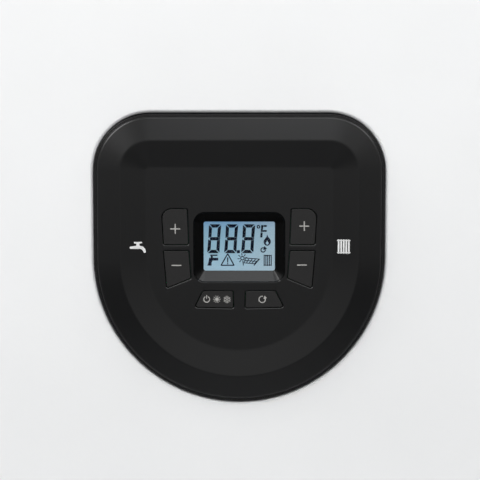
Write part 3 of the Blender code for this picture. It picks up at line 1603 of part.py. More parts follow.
def cable_gland(parent, look):
    """The gland where a supply cable would enter, its nut under the casing."""
    nut_top = -gap
    place = (gland_x, gland_depth, 0)
    profile = [(gland_bore, nut_top - gland_nut_height), (gland_nut, nut_top - gland_nut_height),
               (gland_nut, nut_top), (gland_thread, nut_top), (gland_thread, gland_thread_height),
               (gland_bore, gland_thread_height)]
    return turned("cable_gland", profile, look["dark_plastic"], parent, place, bore=True, steps=12)


# The whole boiler

def palette():
    """The materials by name."""
    return {
        "white": principled("white_enamel", (0.86, 0.87, 0.88), 0.32),
        "zinc": principled("zinc_plate", (0.62, 0.64, 0.66), 0.42, 1.0),
        "foam": principled("seal_foam", (0.05, 0.05, 0.05), 0.95),
        "black": principled("panel_black", (0.016, 0.016, 0.018), 0.38),
        "key": principled("key_black", (0.022, 0.022, 0.024), 0.45),
        "clear": principled("window_clear", (0.9, 0.95, 1.0), 0.05, 0.0, 0.25),
        "display": principled("display_blue", (0.42, 0.66, 0.85), 0.25),
        "board": principled("board_green", (0.03, 0.20, 0.09), 0.45),
        "grey_plastic": principled("grey_plastic", (0.35, 0.36, 0.37), 0.55),
        "dark_plastic": principled("dark_plastic", (0.045, 0.047, 0.05), 0.5),
        "pale_plastic": principled("pale_plastic", (0.72, 0.70, 0.64), 0.5),
        "aluminium": principled("aluminium", (0.75, 0.76, 0.77), 0.35, 1.0),
        "cast": principled("cast_aluminium", (0.58, 0.59, 0.60), 0.55, 1.0),
        "steel": principled("stainless_steel", (0.66, 0.66, 0.65), 0.28, 1.0),
        "copper": principled("copper", (0.80, 0.42, 0.27), 0.32, 1.0),
        "brass": principled("brass", (0.76, 0.60, 0.30), 0.35, 1.0),
        "red": principled("red_enamel", (0.50, 0.03, 0.02), 0.4),
        "motor": principled("motor_grey", (0.16, 0.17, 0.18), 0.5),
        "ceramic": principled("ceramic", (0.85, 0.84, 0.80), 0.3),
    }


def keep_edges_crisp():
    """Split the shading along the edges that joins and cuts leave on the smooth pieces."""
    for solid in bpy.context.scene.objects:
        if solid.type == "MESH" and not solid.hide_render and solid.modifiers:
            split = solid.modifiers.new("crisp_edges", "EDGE_SPLIT")
            split.split_angle = radians(crisp_angle)


def build():
    """Build the boiler on its bodies."""
    clear_scene()
    look = palette()
    root = empty("boiler", (0, 0, -hang_height))
    middle_z = manifold_foot + manifold_height / 2
    relief_front = tail_depth + manifold_depth / 2 + gap + relief_length
    cover_body = empty("cover", parent=root)
    fan_body = empty("fan_wheel", (fan_x, 0, fan_z), root)
    pump_body = empty("pump_wheel", (pump_x, 0, pump_z), root)
    relief_body = empty("relief_knob", (relief_x, relief_front, middle_z), root)
    filling_body = empty("filling_tap", (filling_x, tail_depth, -filling_drop), root)
    needle_body = empty("needle", (gauge_x, gauge_depth, 0), root)

    tails = tail_table()
    relief_depth = tail_depth + manifold_depth / 2 + gap + relief_length / 2
    holes = [(x, tail_depth, radius) for x, radius in tails.values()]
    holes += [(relief_x, relief_depth, relief_outlet), (filling_x, tail_depth, filling_radius),
              (0, drain_depth, trap_outlet), (gauge_x, gauge_depth, gauge_radius),
              (gland_x, gland_depth, gland_thread)]

    wall_bracket(root, look)
    back_frame(root, look)
    side_panel("side_panel_left", -1, root, look)
    side_panel("side_panel_right", 1, root, look)
    top_panel(root, look)
    bottom_panel(root, look, holes)
    front_cover(cover_body, look)
    cover_screw("cover_screw_left", -1, cover_body, look)
    cover_screw("cover_screw_right", 1, cover_body, look)
    cover_seal(root, look)

    control_fascia(root, look)
    for name, (corners, radii) in key_table().items():
        panel_key(name, corners, radii, empty(f"{name}_slide", parent=root), look)
    lcd_window(root, look)
    lcd_module(root, look)
    circuit_board(root, look)
    control_box(root, look)

    for maker in (flue_collar, flue_pipe, exchanger_shell, exchanger_coil, burner_door, burner_tube,
                  ignition_electrode, fan_housing, fan_motor, mixer, air_intake, gas_valve, gas_pipe,
                  pump_housing, pump_motor, plate_exchanger, expansion_vessel, pipes, air_vent,
                  diverter_actuator, safety_valve, filling_valve, condensate_trap, pressure_gauge,
                  cable_gland):
        maker(root, look)
    fan_impeller(fan_body, look)
    pump_impeller(pump_body, look)
    for name, (x, radius) in tails.items():
        pipe_tail(name, x, radius, root, look)
    manifold("flow_manifold", -1, root, look)
    manifold("return_manifold", 1, root, look)
    knob("safety_valve_knob", relief_knob_radius, relief_knob_length, pin_length - bore_clearance,
         look["red"], relief_body, FRONT)
    knob("filling_knob", filling_knob_radius, filling_knob_height, pin_length - bore_clearance,
         look["dark_plastic"], filling_body, DOWN)
    gauge_needle(needle_body, look)
    keep_edges_crisp()


if __name__ == "__main__":
    build()
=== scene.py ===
import logging
import math
from collections.abc import Callable, Iterator, Sequence
from contextlib import contextmanager
from dataclasses import dataclass
from enum import Enum
from typing import Self

import bmesh
import bpy
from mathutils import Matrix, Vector


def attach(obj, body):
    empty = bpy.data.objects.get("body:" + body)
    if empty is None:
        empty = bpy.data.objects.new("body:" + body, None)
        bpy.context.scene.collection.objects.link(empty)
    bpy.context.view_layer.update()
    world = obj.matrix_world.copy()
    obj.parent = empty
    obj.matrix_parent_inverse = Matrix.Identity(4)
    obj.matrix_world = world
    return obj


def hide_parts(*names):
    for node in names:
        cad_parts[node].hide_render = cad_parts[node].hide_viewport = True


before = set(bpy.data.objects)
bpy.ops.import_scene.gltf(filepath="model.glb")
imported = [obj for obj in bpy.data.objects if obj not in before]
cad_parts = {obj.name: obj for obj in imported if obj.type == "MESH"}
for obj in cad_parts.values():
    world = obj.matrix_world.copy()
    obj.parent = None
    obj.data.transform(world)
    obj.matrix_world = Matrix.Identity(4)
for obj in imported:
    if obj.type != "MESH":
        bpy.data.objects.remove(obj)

MM = 0.001
CLOSE = 1e-6
FINE = 1e-7
FACING_ROOM = (math.pi / 2, 0.0, 0.0)
FACING_DOWN = (math.pi, 0.0, 0.0)
log = logging.getLogger("boiler")

Point = tuple[float, float]
Place = tuple[float, float, float]
Colour = tuple[float, float, float]
Number = "float | Value"


class Slot(Enum):
    """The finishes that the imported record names."""

    WHITE = "white_enamel"
    ZINC = "zinc_plate"
    FOAM = "seal_foam"
    PANEL = "panel_black"
    KEY = "key_black"
    WINDOW = "window_clear"
    DISPLAY = "display_blue"
    BOARD = "board_green"
    GREY = "grey_plastic"
    DARK = "dark_plastic"
    PALE = "pale_plastic"
    ALUMINIUM = "aluminium"
    CAST = "cast_aluminium"
    STEEL = "stainless_steel"
    COPPER = "copper"
    BRASS = "brass"
    RED = "red_enamel"
    MOTOR = "motor_grey"
    CERAMIC = "ceramic"


class Value:
    """One output of a material's nodes, for use in plain arithmetic."""

    def __init__(self, graph: "Graph", socket: bpy.types.NodeSocket) -> None:
        """Keep the output and the graph that it belongs to."""
        self.graph = graph
        self.socket = socket

    def _maths(self, operation: str, first: Number, second: Number) -> "Value":
        """Add one Math node, and return its output."""
        return self.graph.node("ShaderNodeMath", {"operation": operation}, {0: first, 1: second})

    def __add__(self, other: Number) -> "Value":
        """Return the sum."""
        return self._maths("ADD", self, other)

    def __radd__(self, other: Number) -> "Value":
        """Return the sum, the other way round."""
        return self._maths("ADD", other, self)

    def __sub__(self, other: Number) -> "Value":
        """Return the difference."""
        return self._maths("SUBTRACT", self, other)

    def __rsub__(self, other: Number) -> "Value":
        """Return the difference, the other way round."""
        return self._maths("SUBTRACT", other, self)

    def __mul__(self, other: Number) -> "Value":
        """Return the product."""
        return self._maths("MULTIPLY", self, other)

    def __rmul__(self, other: Number) -> "Value":
        """Return the product, the other way round."""
        return self._maths("MULTIPLY", other, self)

    def __truediv__(self, other: Number) -> "Value":
        """Return the quotient."""
        return self._maths("DIVIDE", self, other)

    def __rtruediv__(self, other: Number) -> "Value":
        """Return the quotient, the other way round."""
        return self._maths("DIVIDE", other, self)

    def ramp(self, low: float, high: float, start: float = 0.0, end: float = 1.0) -> "Value":
        """Stretch a range of this value over another, held at its ends."""
        inputs = {"Value": self, 1: low, 2: high, 3: start, 4: end}
        return self.graph.node("ShaderNodeMapRange", {"clamp": True}, inputs)


class Graph:
    """The nodes of one material or of the world."""

    def __init__(self, tree: bpy.types.NodeTree) -> None:
        """Empty the tree."""
        self.tree = tree
        tree.nodes.clear()

    def node(self, kind: str, settings: dict[str, object] | None = None,
             inputs: dict[int | str, object] | None = None, output: int | str | None = 0) -> Value | None:
        """Add a node, set it, and then feed its sockets.

        Args:
            kind: The node's type.
            settings: Its properties, and "stops" for the stops of a ramp.
            inputs: Numbers, colours or values by socket.
            output: The output that is wanted, or None.

        Returns:
            That output.
        """
        made = self.tree.nodes.new(kind)
        for name, setting in (settings or {}).items():
            if name == "stops":
                self._stops(made, setting)
            else:
                setattr(made, name, setting)
        for name, given in (inputs or {}).items():
            if isinstance(given, Value):
                self.tree.links.new(given.socket, made.inputs[name])
            else:
                made.inputs[name].default_value = given
        return None if output is None else Value(self, made.outputs[output])

    @staticmethod
    def _stops(made: bpy.types.Node, stops: Sequence[tuple[float, Colour]]) -> None:
        """Set the stops of a colour ramp.

        Args:
            made: The ramp's node.
            stops: Each stop's place and colour.
        """
        elements = made.color_ramp.elements
        while len(elements) < len(stops):
            elements.new(1.0)
        for element, (place, colour) in zip(elements, stops):
            element.position = place
            element.color = (*colour, 1.0)

    def place(self, scale: Sequence[float] = (1, 1, 1), turn: Sequence[float] = (0, 0, 0)) -> Value:
        """Read the piece's own coordinates."""
        own = self.node("ShaderNodeTexCoord", output="Object")
        return self.node("ShaderNodeMapping", None, {"Vector": own, "Rotation": turn, "Scale": scale})

    def axes(self) -> tuple[Value, Value, Value]:
        """Return the piece's own x, y and z."""
        own = self.node("ShaderNodeTexCoord", output="Object")
        return tuple(self.node("ShaderNodeSeparateXYZ", None, {0: own}, output=i) for i in range(3))

    def noise(self, scale: float, detail: float = 2.0, place: Value | None = None,
              roughness: float = 0.5) -> Value:
        """Add a noise pattern."""
        inputs = {"Vector": place or self.place(), "Scale": scale, "Detail": detail, "Roughness": roughness}
        return self.node("ShaderNodeTexNoise", None, inputs)

    def blend(self, factor: Number, first: "Colour | Value", second: "Colour | Value") -> Value:
        """Mix two colours."""
        inputs = {0: factor, 6: opaque(first), 7: opaque(second)}
        return self.node("ShaderNodeMix", {"data_type": "RGBA"}, inputs, output=2)

    def bump(self, height: Value, depth: float, strength: float = 1.0) -> Value:
        """Turn a height into a normal."""
        return self.node("ShaderNodeBump", None, {"Height": height, "Distance": depth, "Strength": strength})

    def surface(self, sockets: dict[str, object]) -> None:
        """Add the shader and the output."""
        given = {name: opaque(value) for name, value in sockets.items()}
        self.finish("Material", self.node("ShaderNodeBsdfPrincipled", None, given))

    def finish(self, kind: str, shader: Value) -> None:
        """Link a shader to the "Material" or "World" output."""
        self.node(f"ShaderNodeOutput{kind}", None, {"Surface": shader}, output=None)


def opaque(given: object) -> object:
    """Give a colour its fourth part, and leave anything else as it is."""
    return (*given, 1.0) if isinstance(given, tuple) else given


def shaded(colour: Colour, factor: float) -> Colour:
    """Darken or lighten a colour."""
    return tuple(min(1.0, part * factor) for part in colour)


@dataclass(frozen=True)
class Finish:
    """A surface finish, made once and shared by its pieces."""

    name: str
    slot: Slot

    def paint(self, graph: Graph) -> None:
        """Lay the finish's nodes."""
        raise NotImplementedError

    def material(self) -> bpy.types.Material:
        """Make the finish's material at its first use.

        Returns:
            The material.
        """
        found = bpy.data.materials.get(self.name)
        if found is None:
            found = bpy.data.materials.new(self.name)
            found.use_nodes = True
            self.paint(Graph(found.node_tree))
        return found


@dataclass(frozen=True)
class Enamel(Finish):
    """Baked enamel or powder coat, with a faint orange peel."""

    colour: Colour
    roughness: float = 0.38
    peel: float = 420.0
    depth: float = 0.00003

    def paint(self, graph: Graph) -> None:
        """Lay the coat's tone, its peel and its gloss.

        Args:
            graph: The material's empty graph.
        """
        tone = graph.noise(9.0, 3.0).ramp(0.35, 0.7)
        graph.surface({
            "Base Color": graph.blend(tone, self.colour, shaded(self.colour, 0.975)),
            "Roughness": graph.noise(60.0, 3.0).ramp(0.3, 0.7, self.roughness - 0.03, self.roughness + 0.04),
            "Normal": graph.bump(graph.noise(self.peel), self.depth),
        })


@dataclass(frozen=True)
class Moulded(Finish):
    """A moulded plastic with a fine spark-eroded grain."""

    colour: Colour
    roughness: float = 0.45
    grain: float = 2600.0
    depth: float = 0.00001
    specular: float = 0.5
    mottle: float = 0.06

    def paint(self, graph: Graph) -> None:
        """Lay the grain, the flow marks and the gloss.

        Args:
            graph: The material's empty graph.
        """
        flow = graph.noise(35.0, 3.0)
        grain = graph.noise(self.grain)
        mottled = shaded(self.colour, 1 + self.mottle)
        graph.surface({
            "Base Color": graph.blend(flow.ramp(0.35, 0.7), self.colour, mottled),
            "Roughness": (flow * 0.06 + grain * 0.06) + (self.roughness - 0.06),
            "Specular IOR Level": self.specular,
            "Normal": graph.bump(grain, self.depth),
        })


@dataclass(frozen=True)
class ZincSheet(Finish):
    """Galvanised sheet with its spangle."""

    spangle: float = 90.0

    def paint(self, graph: Graph) -> None:
        """Lay the crystals and the dull film over them.

        Args:
            graph: The material's empty graph.
        """
        inputs = {"Vector": graph.place(), "Scale": self.spangle, "Randomness": 1.0}
        cells = graph.node("ShaderNodeTexVoronoi", {"feature": "F1"}, inputs, output="Color")
        shade = graph.node("ShaderNodeSeparateColor", None, {0: cells})
        film = graph.noise(300.0, 4.0)
        graph.surface({
            "Base Color": graph.blend(shade, (0.52, 0.54, 0.56), (0.66, 0.68, 0.70)),
            "Metallic": 1.0,
            "Roughness": shade * 0.12 + film * 0.10 + 0.30,
            "Normal": graph.bump(film, 0.00001),
        })


@dataclass(frozen=True)
class CastMetal(Finish):
    """A die casting, dull and slightly pitted."""

    colour: Colour
    roughness: float = 0.48
    depth: float = 0.00008

    def paint(self, graph: Graph) -> None:
        """Lay the cast skin and the stains from the die.

        Args:
            graph: The material's empty graph.
        """
        skin = graph.noise(900.0, 4.0, roughness=0.6)
        stain = graph.noise(28.0, 4.0)
        graph.surface({
            "Base Color": graph.blend(stain.ramp(0.35, 0.7), self.colour, shaded(self.colour, 0.78)),
            "Metallic": 1.0,
            "Roughness": skin * 0.12 + stain * 0.08 + (self.roughness - 0.10),
            "Normal": graph.bump(skin, self.depth, 0.6),
        })


@dataclass(frozen=True)
class DrawnMetal(Finish):
    """A drawn or turned metal with fine lines and a little tarnish."""

    colour: Colour
    roughness: float = 0.28
    lines: Sequence[float] = (400.0, 400.0, 2500.0)
    tarnish: float = 0.25

    def paint(self, graph: Graph) -> None:
        """Lay the drawn lines and the tarnish.

        Args:
            graph: The material's empty graph.
        """
        lines = graph.noise(1.0, 3.0, graph.place(scale=self.lines))
        stain = graph.noise(45.0, 4.0).ramp(0.45, 0.75, 0.0, self.tarnish)
        graph.surface({
            "Base Color": graph.blend(stain, self.colour, shaded(self.colour, 0.55)),
            "Metallic": 1.0,
            "Roughness": lines * 0.14 + stain * 0.4 + (self.roughness - 0.07),
            "Normal": graph.bump(lines, 0.00001, 0.4),
        })


@dataclass(frozen=True)
class CellFoam(Finish):
    """Closed-cell sealing foam."""

    colour: Colour

    def paint(self, graph: Graph) -> None:
        """Lay the cells that the cut has opened.

        Args:
            graph: The material's empty graph.
        """
        inputs = {"Vector": graph.place(), "Scale": 1400.0}
        cells = graph.node("ShaderNodeTexVoronoi", {"feature": "F1"}, inputs, output="Distance")
        graph.surface({
            "Base Color": graph.blend(cells, self.colour, shaded(self.colour, 0.4)),
            "Roughness": 0.9,
            "Normal": graph.bump(cells, 0.0002, 0.7),
        })


@dataclass(frozen=True)
class Board(Finish):
    """A circuit board under green solder mask."""

    def paint(self, graph: Graph) -> None:
        """Lay the tracks that show paler through the mask.

        Args:
            graph: The material's empty graph.
        """
        tracks = graph.node("ShaderNodeTexBrick", {"offset": 0.37},
                            {"Vector": graph.place(turn=FACING_ROOM), "Scale": 130.0, "Mortar Size": 0.06,
                             "Color1": (0, 0, 0, 1), "Color2": (0, 0, 0, 1), "Mortar": (1, 1, 1, 1)})
        track = graph.node("ShaderNodeSeparateColor", None, {0: tracks})
        graph.surface({
            "Base Color": graph.blend(track, (0.008, 0.085, 0.035), (0.02, 0.20, 0.07)),
            "Roughness": graph.noise(500.0).ramp(0.3, 0.7, 0.24, 0.34),
            "Normal": graph.bump(track, 0.00003),
        })


@dataclass(frozen=True)
class Backlight(Finish):
    """The lit face of the display, bluer at its top edge and paler towards its foot."""

    foot: float
    height: float
    half: float

    def paint(self, graph: Graph) -> None:
        """Lay the glow from the light guide's edge down to the foot.

        Args:
            graph: The material's empty graph.
        """
        x, _, z = graph.axes()
        up = (z - self.foot) / self.height
        colour = graph.node("ShaderNodeValToRGB", {"stops": [
            (0.0, (0.33, 0.48, 0.57)), (0.45, (0.25, 0.41, 0.49)), (0.82, (0.20, 0.36, 0.47)),
            (1.0, (0.12, 0.27, 0.46))]}, {0: up})
        greyer = graph.blend((x / self.half).ramp(-0.2, 1.0, 0.0, 0.45), colour, (0.42, 0.47, 0.48))
        cloud = graph.noise(260.0, 3.0)
        graph.surface({
            "Base Color": (0.02, 0.05, 0.08),
            "Roughness": 0.5,
            "Emission Color": graph.blend(cloud.ramp(0.35, 0.75, 0.0, 0.10), greyer, (0.45, 0.62, 0.70)),
            "Emission Strength": 0.82,
        })


@dataclass(frozen=True)
class Ink(Finish):
    """A screen-printed legend."""

    colour: Colour
    sheen: float = 0.3

    def paint(self, graph: Graph) -> None:
        """Lay the ink and its slight unevenness.

        Args:
            graph: The material's empty graph.
        """
        uneven = graph.noise(3000.0)
        graph.surface({
            "Base Color": graph.blend(uneven, self.colour, shaded(self.colour, 0.85)),
            "Roughness": uneven * 0.1 + 0.45,
            "Specular IOR Level": self.sheen,
        })


@dataclass(frozen=True)
class Pane(Finish):
    """The clear window over the display."""

    def paint(self, graph: Graph) -> None:
        """Lay a clear moulding with a trace of haze.

        Args:
            graph: The material's empty graph.
        """
        haze = graph.noise(40.0, 3.0)
        graph.surface({
            "Base Color": (0.97, 0.985, 1.0),
            "Roughness": haze * 0.03 + 0.01,
            "Transmission Weight": 1.0,
            "IOR": 1.12,
        })


WHITE = Enamel("finish_white_enamel", Slot.WHITE, (0.86, 0.86, 0.855))
RED = Enamel("finish_red_enamel", Slot.RED, (0.46, 0.018, 0.012), 0.30, 260.0, 0.00006)
MOTOR = Enamel("finish_motor_grey", Slot.MOTOR, (0.12, 0.13, 0.135), 0.42, 700.0, 0.00008)
PANEL = Moulded("finish_panel_black", Slot.PANEL, (0.0016, 0.0016, 0.0017), 0.31, 3000.0, 0.000004, 0.22)
KEY = Moulded("finish_key_black", Slot.KEY, (0.0045, 0.0042, 0.0041), 0.45, 3400.0, 0.00001, 0.30)
# Painted shade: a darker, less glossy copy of the panel's own black, laid on the display surround where it is
# turned away from the light above.
PAINTED_SHADE = Moulded("finish_painted_shade", Slot.PANEL, (0.0008, 0.0008, 0.0008), 0.40, 3000.0, 0.000004, 0.05)
GREY = Moulded("finish_grey_plastic", Slot.GREY, (0.30, 0.31, 0.32), 0.5, 1500.0, 0.00003)
DARK = Moulded("finish_dark_plastic", Slot.DARK, (0.028, 0.029, 0.031), 0.5, 1500.0, 0.00003)
PALE = Moulded("finish_pale_plastic", Slot.PALE, (0.72, 0.71, 0.67), 0.42, 1600.0, 0.00002)
CERAMIC = Moulded("finish_ceramic", Slot.CERAMIC, (0.80, 0.78, 0.73), 0.2, 500.0, 0.00002)
ZINC = ZincSheet("finish_zinc", Slot.ZINC)
CAST = CastMetal("finish_cast_aluminium", Slot.CAST, (0.62, 0.62, 0.61))
ALUMINIUM = DrawnMetal("finish_aluminium", Slot.ALUMINIUM, (0.78, 0.79, 0.80), 0.3)
STEEL = DrawnMetal("finish_stainless", Slot.STEEL, (0.60, 0.59, 0.57), 0.26, (600.0, 600.0, 600.0), 0.15)
COPPER = DrawnMetal("finish_copper", Slot.COPPER, (0.78, 0.36, 0.22), 0.25, (500.0, 500.0, 60.0), 0.5)
BRASS = DrawnMetal("finish_brass", Slot.BRASS, (0.72, 0.52, 0.24), 0.27, (200.0, 200.0, 2500.0), 0.35)
FOAM = CellFoam("finish_seal_foam", Slot.FOAM, (0.05, 0.05, 0.052))
BOARD = Board("finish_circuit_board", Slot.BOARD)
PANE = Pane("finish_window", Slot.WINDOW)
PRINT = Ink("finish_panel_print", Slot.PALE, (0.80, 0.80, 0.79))
LEGEND = Ink("finish_key_legend", Slot.PALE, (0.40, 0.39, 0.37))
SEGMENT = Ink("finish_display_segment", Slot.DISPLAY, (0.0025, 0.006, 0.016), 0.05)
SIGN = Ink("finish_display_sign", Slot.DISPLAY, (0.008, 0.012, 0.028), 0.05)

CARRIED: dict[Finish, tuple[str, ...]] = {
    WHITE: ("side_panel_left", "side_panel_right", "top_panel", "bottom_panel"),
    ZINC: ("wall_bracket", "back_frame", "cover_screw_left", "cover_screw_right"),
    FOAM: ("cover_seal",),
    BOARD: ("circuit_board",),
    GREY: ("control_box", "diverter_actuator", "condensate_trap"),
    DARK: ("exchanger_shell", "fan_motor", "air_intake", "flow_manifold", "return_manifold", "pump_housing",
           "filling_knob"),
    PALE: ("fan_impeller", "pump_impeller"),
    ALUMINIUM: ("flue_pipe",),
    CAST: ("burner_door", "fan_housing", "mixer", "gas_valve"),
    STEEL: ("burner_tube", "exchanger_coil", "gas_pipe", "plate_exchanger"),
    COPPER: ("flow_pipe", "return_pipe", "vessel_pipe"),
    BRASS: ("air_vent", "safety_valve"),
    RED: ("expansion_vessel", "safety_valve_knob", "gauge_needle"),
    MOTOR: ("pump_motor",),
    CERAMIC: ("ignition_electrode",),
}


def fillet(points: Sequence[Point], radii: Sequence[float], steps: int) -> list[Point]:
    """Round the inner corners of an open line.

    Args:
        points: The line's points.
        radii: The radius at each point, 0 for a sharp one.
        steps: How many steps each arc has.

    Returns:
        The rounded line.
    """
    rounded = []
    for index, (point, radius) in enumerate(zip(points, radii)):
        here = Vector(point)
        if radius == 0 or index in (0, len(points) - 1):
            rounded.append(tuple(here))
            continue
        back = (Vector(points[index - 1]) - here).normalized()
        ahead = (Vector(points[index + 1]) - here).normalized()
        half = back.angle(ahead) / 2
        reach = radius / math.tan(half)
        centre = here + (back + ahead).normalized() * radius / math.sin(half)
        start, end = here + back * reach - centre, here + ahead * reach - centre
        turn = start.angle_signed(end)
        for step in range(steps + 1):
            share = -turn * step / steps
            across = Vector((start.x * math.cos(share) - start.y * math.sin(share),
                             start.x * math.sin(share) + start.y * math.cos(share)))
            rounded.append(tuple(centre + across))
    return rounded


def heading(degrees: float) -> Vector:
    """Return the unit vector at an angle from the right."""
    turn = math.radians(degrees)
    return Vector((math.cos(turn), math.sin(turn)))


def at_depth(y: float) -> Callable[..., bool]:
    """Return a test for the edges and faces that lie at one depth."""
    return lambda part: all(abs(vertex.co.y - y) < CLOSE for vertex in part.verts)


def pick_up(piece: bpy.types.Object) -> None:
    """Select one object alone and make it the active one.

    Args:
        piece: The object.
    """
    bpy.ops.object.select_all(action="DESELECT")
    bpy.context.view_layer.objects.active = piece
    piece.select_set(True)


def settled() -> bpy.types.Object:
    """Apply the new object's place, turn and scale, and return it."""
    bpy.ops.object.transform_apply(location=True, rotation=True, scale=True)
    return bpy.context.active_object


def dished(radius: float, start: float, end: float, steps: int = 4) -> list[Point]:
    """Return the profile of an edge that rolls over into an opening.

    Args:
        radius: The roll's radius.
        start: Its slope where it leaves the flat, in degrees.
        end: Its slope where it ends.
        steps: How many steps it has.

    Returns:
        Points of inset and height, from the flat inwards.
    """
    turns = [math.radians(start + (end - start) * step / steps) for step in range(steps + 1)]
    first = turns[0]
    return [(radius * (math.sin(turn) - math.sin(first)), radius * (math.cos(turn) - math.cos(first)))
            for turn in turns]


@contextmanager
def editing(piece: bpy.types.Object, whole: bool = False) -> Iterator[bmesh.types.BMesh]:
    """Open one object in edit mode.

    Args:
        piece: The object to edit.
        whole: Whether all of it is selected, or nothing.

    Yields:
        Its mesh, for choosing what is selected.
    """
    pick_up(piece)
    bpy.ops.object.mode_set(mode="EDIT")
    bpy.ops.mesh.select_mode(type="VERT")
    bpy.ops.mesh.select_all(action="SELECT" if whole else "DESELECT")
    try:
        yield bmesh.from_edit_mesh(piece.data)
    finally:
        bpy.ops.object.mode_set(mode="OBJECT")


class Workpiece:
    """One object on the bench, shaped step by step with Blender's own tools."""

    def __init__(self, name: str, piece: bpy.types.Object) -> None:
        """Name the object.

        Args:
            name: The piece's name.
            piece: Its object.
        """
        self.name = name
        self.piece = piece
        piece.name = name
        piece.data.name = name

    @classmethod
    def sheet(cls, name: str, x: Point, z: Point, y: float) -> Self:
        """Start from a plane that faces the room.

        Args:
            name: The piece's name.
            x: Its left and right edge.
            z: Its lower and upper edge.
            y: Its depth.

        Returns:
            The new piece.
        """
        bpy.ops.mesh.primitive_plane_add(size=1.0, location=(sum(x) / 2, y, sum(z) / 2), rotation=FACING_ROOM)
        bpy.context.active_object.scale = (x[1] - x[0], z[1] - z[0], 1.0)
        return cls(name, settled())

    @classmethod
    def disc(cls, name: str, centre: Point, radius: float, y: float, sides: int) -> Self:
        """Start from a filled circle that faces the room.

        Args:
            name: The piece's name.
            centre: Its place across and up.
            radius: Its radius.
            y: Its depth.
            sides: How many sides it has.

        Returns:
            The new piece.
        """
        bpy.ops.mesh.primitive_circle_add(vertices=sides, radius=radius, fill_type="NGON",
                                          location=(centre[0], y, centre[1]), rotation=FACING_ROOM)
        return cls(name, settled())

    @classmethod
    def outline(cls, name: str, points: Sequence[Point], y: float) -> Self:
        """Start from a filled circle and move each of its points into place.

        Args:
            name: The piece's name.
            points: The outline's points across and up.
            y: Its depth.

        Returns:
            The new piece.
        """
        area = sum(a[0] * b[1] - b[0] * a[1] for a, b in zip(points, (*points[1:], points[0])))
        ordered = list(points) if area > 0 else list(reversed(points))
        made = cls.disc(name, (0.0, 0.0), 1.0, y, len(ordered))
        turned = sorted(made.piece.data.vertices, key=lambda v: math.atan2(v.co.z, v.co.x) % math.tau)
        order = {vertex.index: place for place, vertex in enumerate(turned)}
        with editing(made.piece) as mesh:
            mesh.verts.ensure_lookup_table()
            for index, place in order.items():
                vertex = mesh.verts[index]
                vertex.select_set(True)
                mesh.select_flush(True)
                target = Vector((ordered[place][0], y, ordered[place][1]))
                bpy.ops.transform.translate(value=target - vertex.co)
                bpy.ops.mesh.select_all(action="DESELECT")
        return made

    @classmethod
    def turned(cls, name: str, place: Sequence[float], profile: Sequence[Point], sides: int = 48,
               closed: bool = False) -> Self:
        """Draw a circle out ring by ring along an upright axis.

        Args:
            name: The piece's name.
            place: The axis's place, and the level from which heights count.
            profile: Points of radius and height.
            sides: How many sides each ring has.
            closed: Whether the profile comes back to its start, as round a bore.

        Returns:
            The new piece.
        """
        x, y, z = place
        start = profile[0]
        bpy.ops.mesh.primitive_circle_add(vertices=sides, radius=start[0], location=(x, y, z + start[1]),
                                          rotation=(0, 0, math.pi / 2))
        made = cls(name, settled())
        with editing(made.piece, whole=True):
            for (radius, level), (next_radius, next_level) in zip(profile, profile[1:]):
                bpy.ops.mesh.extrude_edges_move(TRANSFORM_OT_translate={"value": (0, 0, next_level - level)})
                share = next_radius / radius
                bpy.ops.transform.resize(value=(share, share, 1), center_override=(x, y, z + next_level))
            if not closed:
                bpy.ops.mesh.select_all(action="DESELECT")
                bpy.ops.mesh.select_non_manifold()
                bpy.ops.mesh.fill_holes(sides=0)
        return made.weld()

    def select(self, mesh: bmesh.types.BMesh, kind: str, test: Callable[..., bool]) -> int:
        """Select by place, and flush the selection.

        Args:
            mesh: The mesh in edit mode.
            kind: "verts", "edges" or "faces".
            test: What is selected.

        Returns:
            How many are selected.
        """
        modes = {"verts": "VERT", "edges": "EDGE", "faces": "FACE"}
        bpy.ops.mesh.select_mode(type=modes[kind])
        count = 0
        for part in getattr(mesh, kind):
            if test(part):
                part.select_set(True)
                count += 1
        mesh.select_flush_mode()
        bmesh.update_edit_mesh(self.piece.data)
        return count

    def round_corners(self, reach: float, steps: int, test: Callable[..., bool]) -> Self:
        """Round the corners of a flat outline.

        Args:
            reach: How far the arc starts from the corner.
            steps: How many steps it has.
            test: Which vertices are rounded.

        Returns:
            This piece.
        """
        with editing(self.piece) as mesh:
            if self.select(mesh, "verts", test):
                bpy.ops.mesh.bevel(offset_type="OFFSET", offset=reach, segments=steps, profile=0.5,
                                   affect="VERTICES", clamp_overlap=False)
            bpy.ops.mesh.select_all(action="SELECT")
            bpy.ops.mesh.remove_doubles(threshold=CLOSE)
        return self

    def terrace(self, profile: Sequence[Point]) -> None:
        """Step the front face inwards along a profile.

        Args:
            profile: Points of inset and height, from the edge inwards.
        """
        with editing(self.piece) as mesh:
            front = min(face.calc_center_median().y for face in mesh.faces)
            self.select(mesh, "faces", lambda face: abs(face.calc_center_median().y - front) < FINE)
            for (inset, height), (next_inset, next_height) in zip(profile, profile[1:]):
                step, rise = next_inset - inset, next_height - height
                if abs(step) < FINE:
                    bpy.ops.mesh.extrude_region_move(TRANSFORM_OT_translate={"value": (0, -rise, 0)})
                else:
                    bpy.ops.mesh.inset(thickness=step, depth=rise, use_even_offset=True, use_boundary=True)

    def drop_front(self, y: float) -> None:
        """Delete the faces that lie at one depth, and keep their edges.

        Args:
            y: The depth.
        """
        with editing(self.piece) as mesh:
            self.select(mesh, "faces", at_depth(y))
            bpy.ops.mesh.delete(type="ONLY_FACE")

    def pull_border(self, move: Sequence[float], test: Callable[..., bool]) -> None:
        """Extrude open edges.

        Args:
            move: How far and which way.
            test: Which of the open edges.
        """
        with editing(self.piece) as mesh:
            self.select(mesh, "edges", lambda edge: edge.is_boundary and test(edge))
            bpy.ops.mesh.extrude_edges_move(TRANSFORM_OT_translate={"value": move})

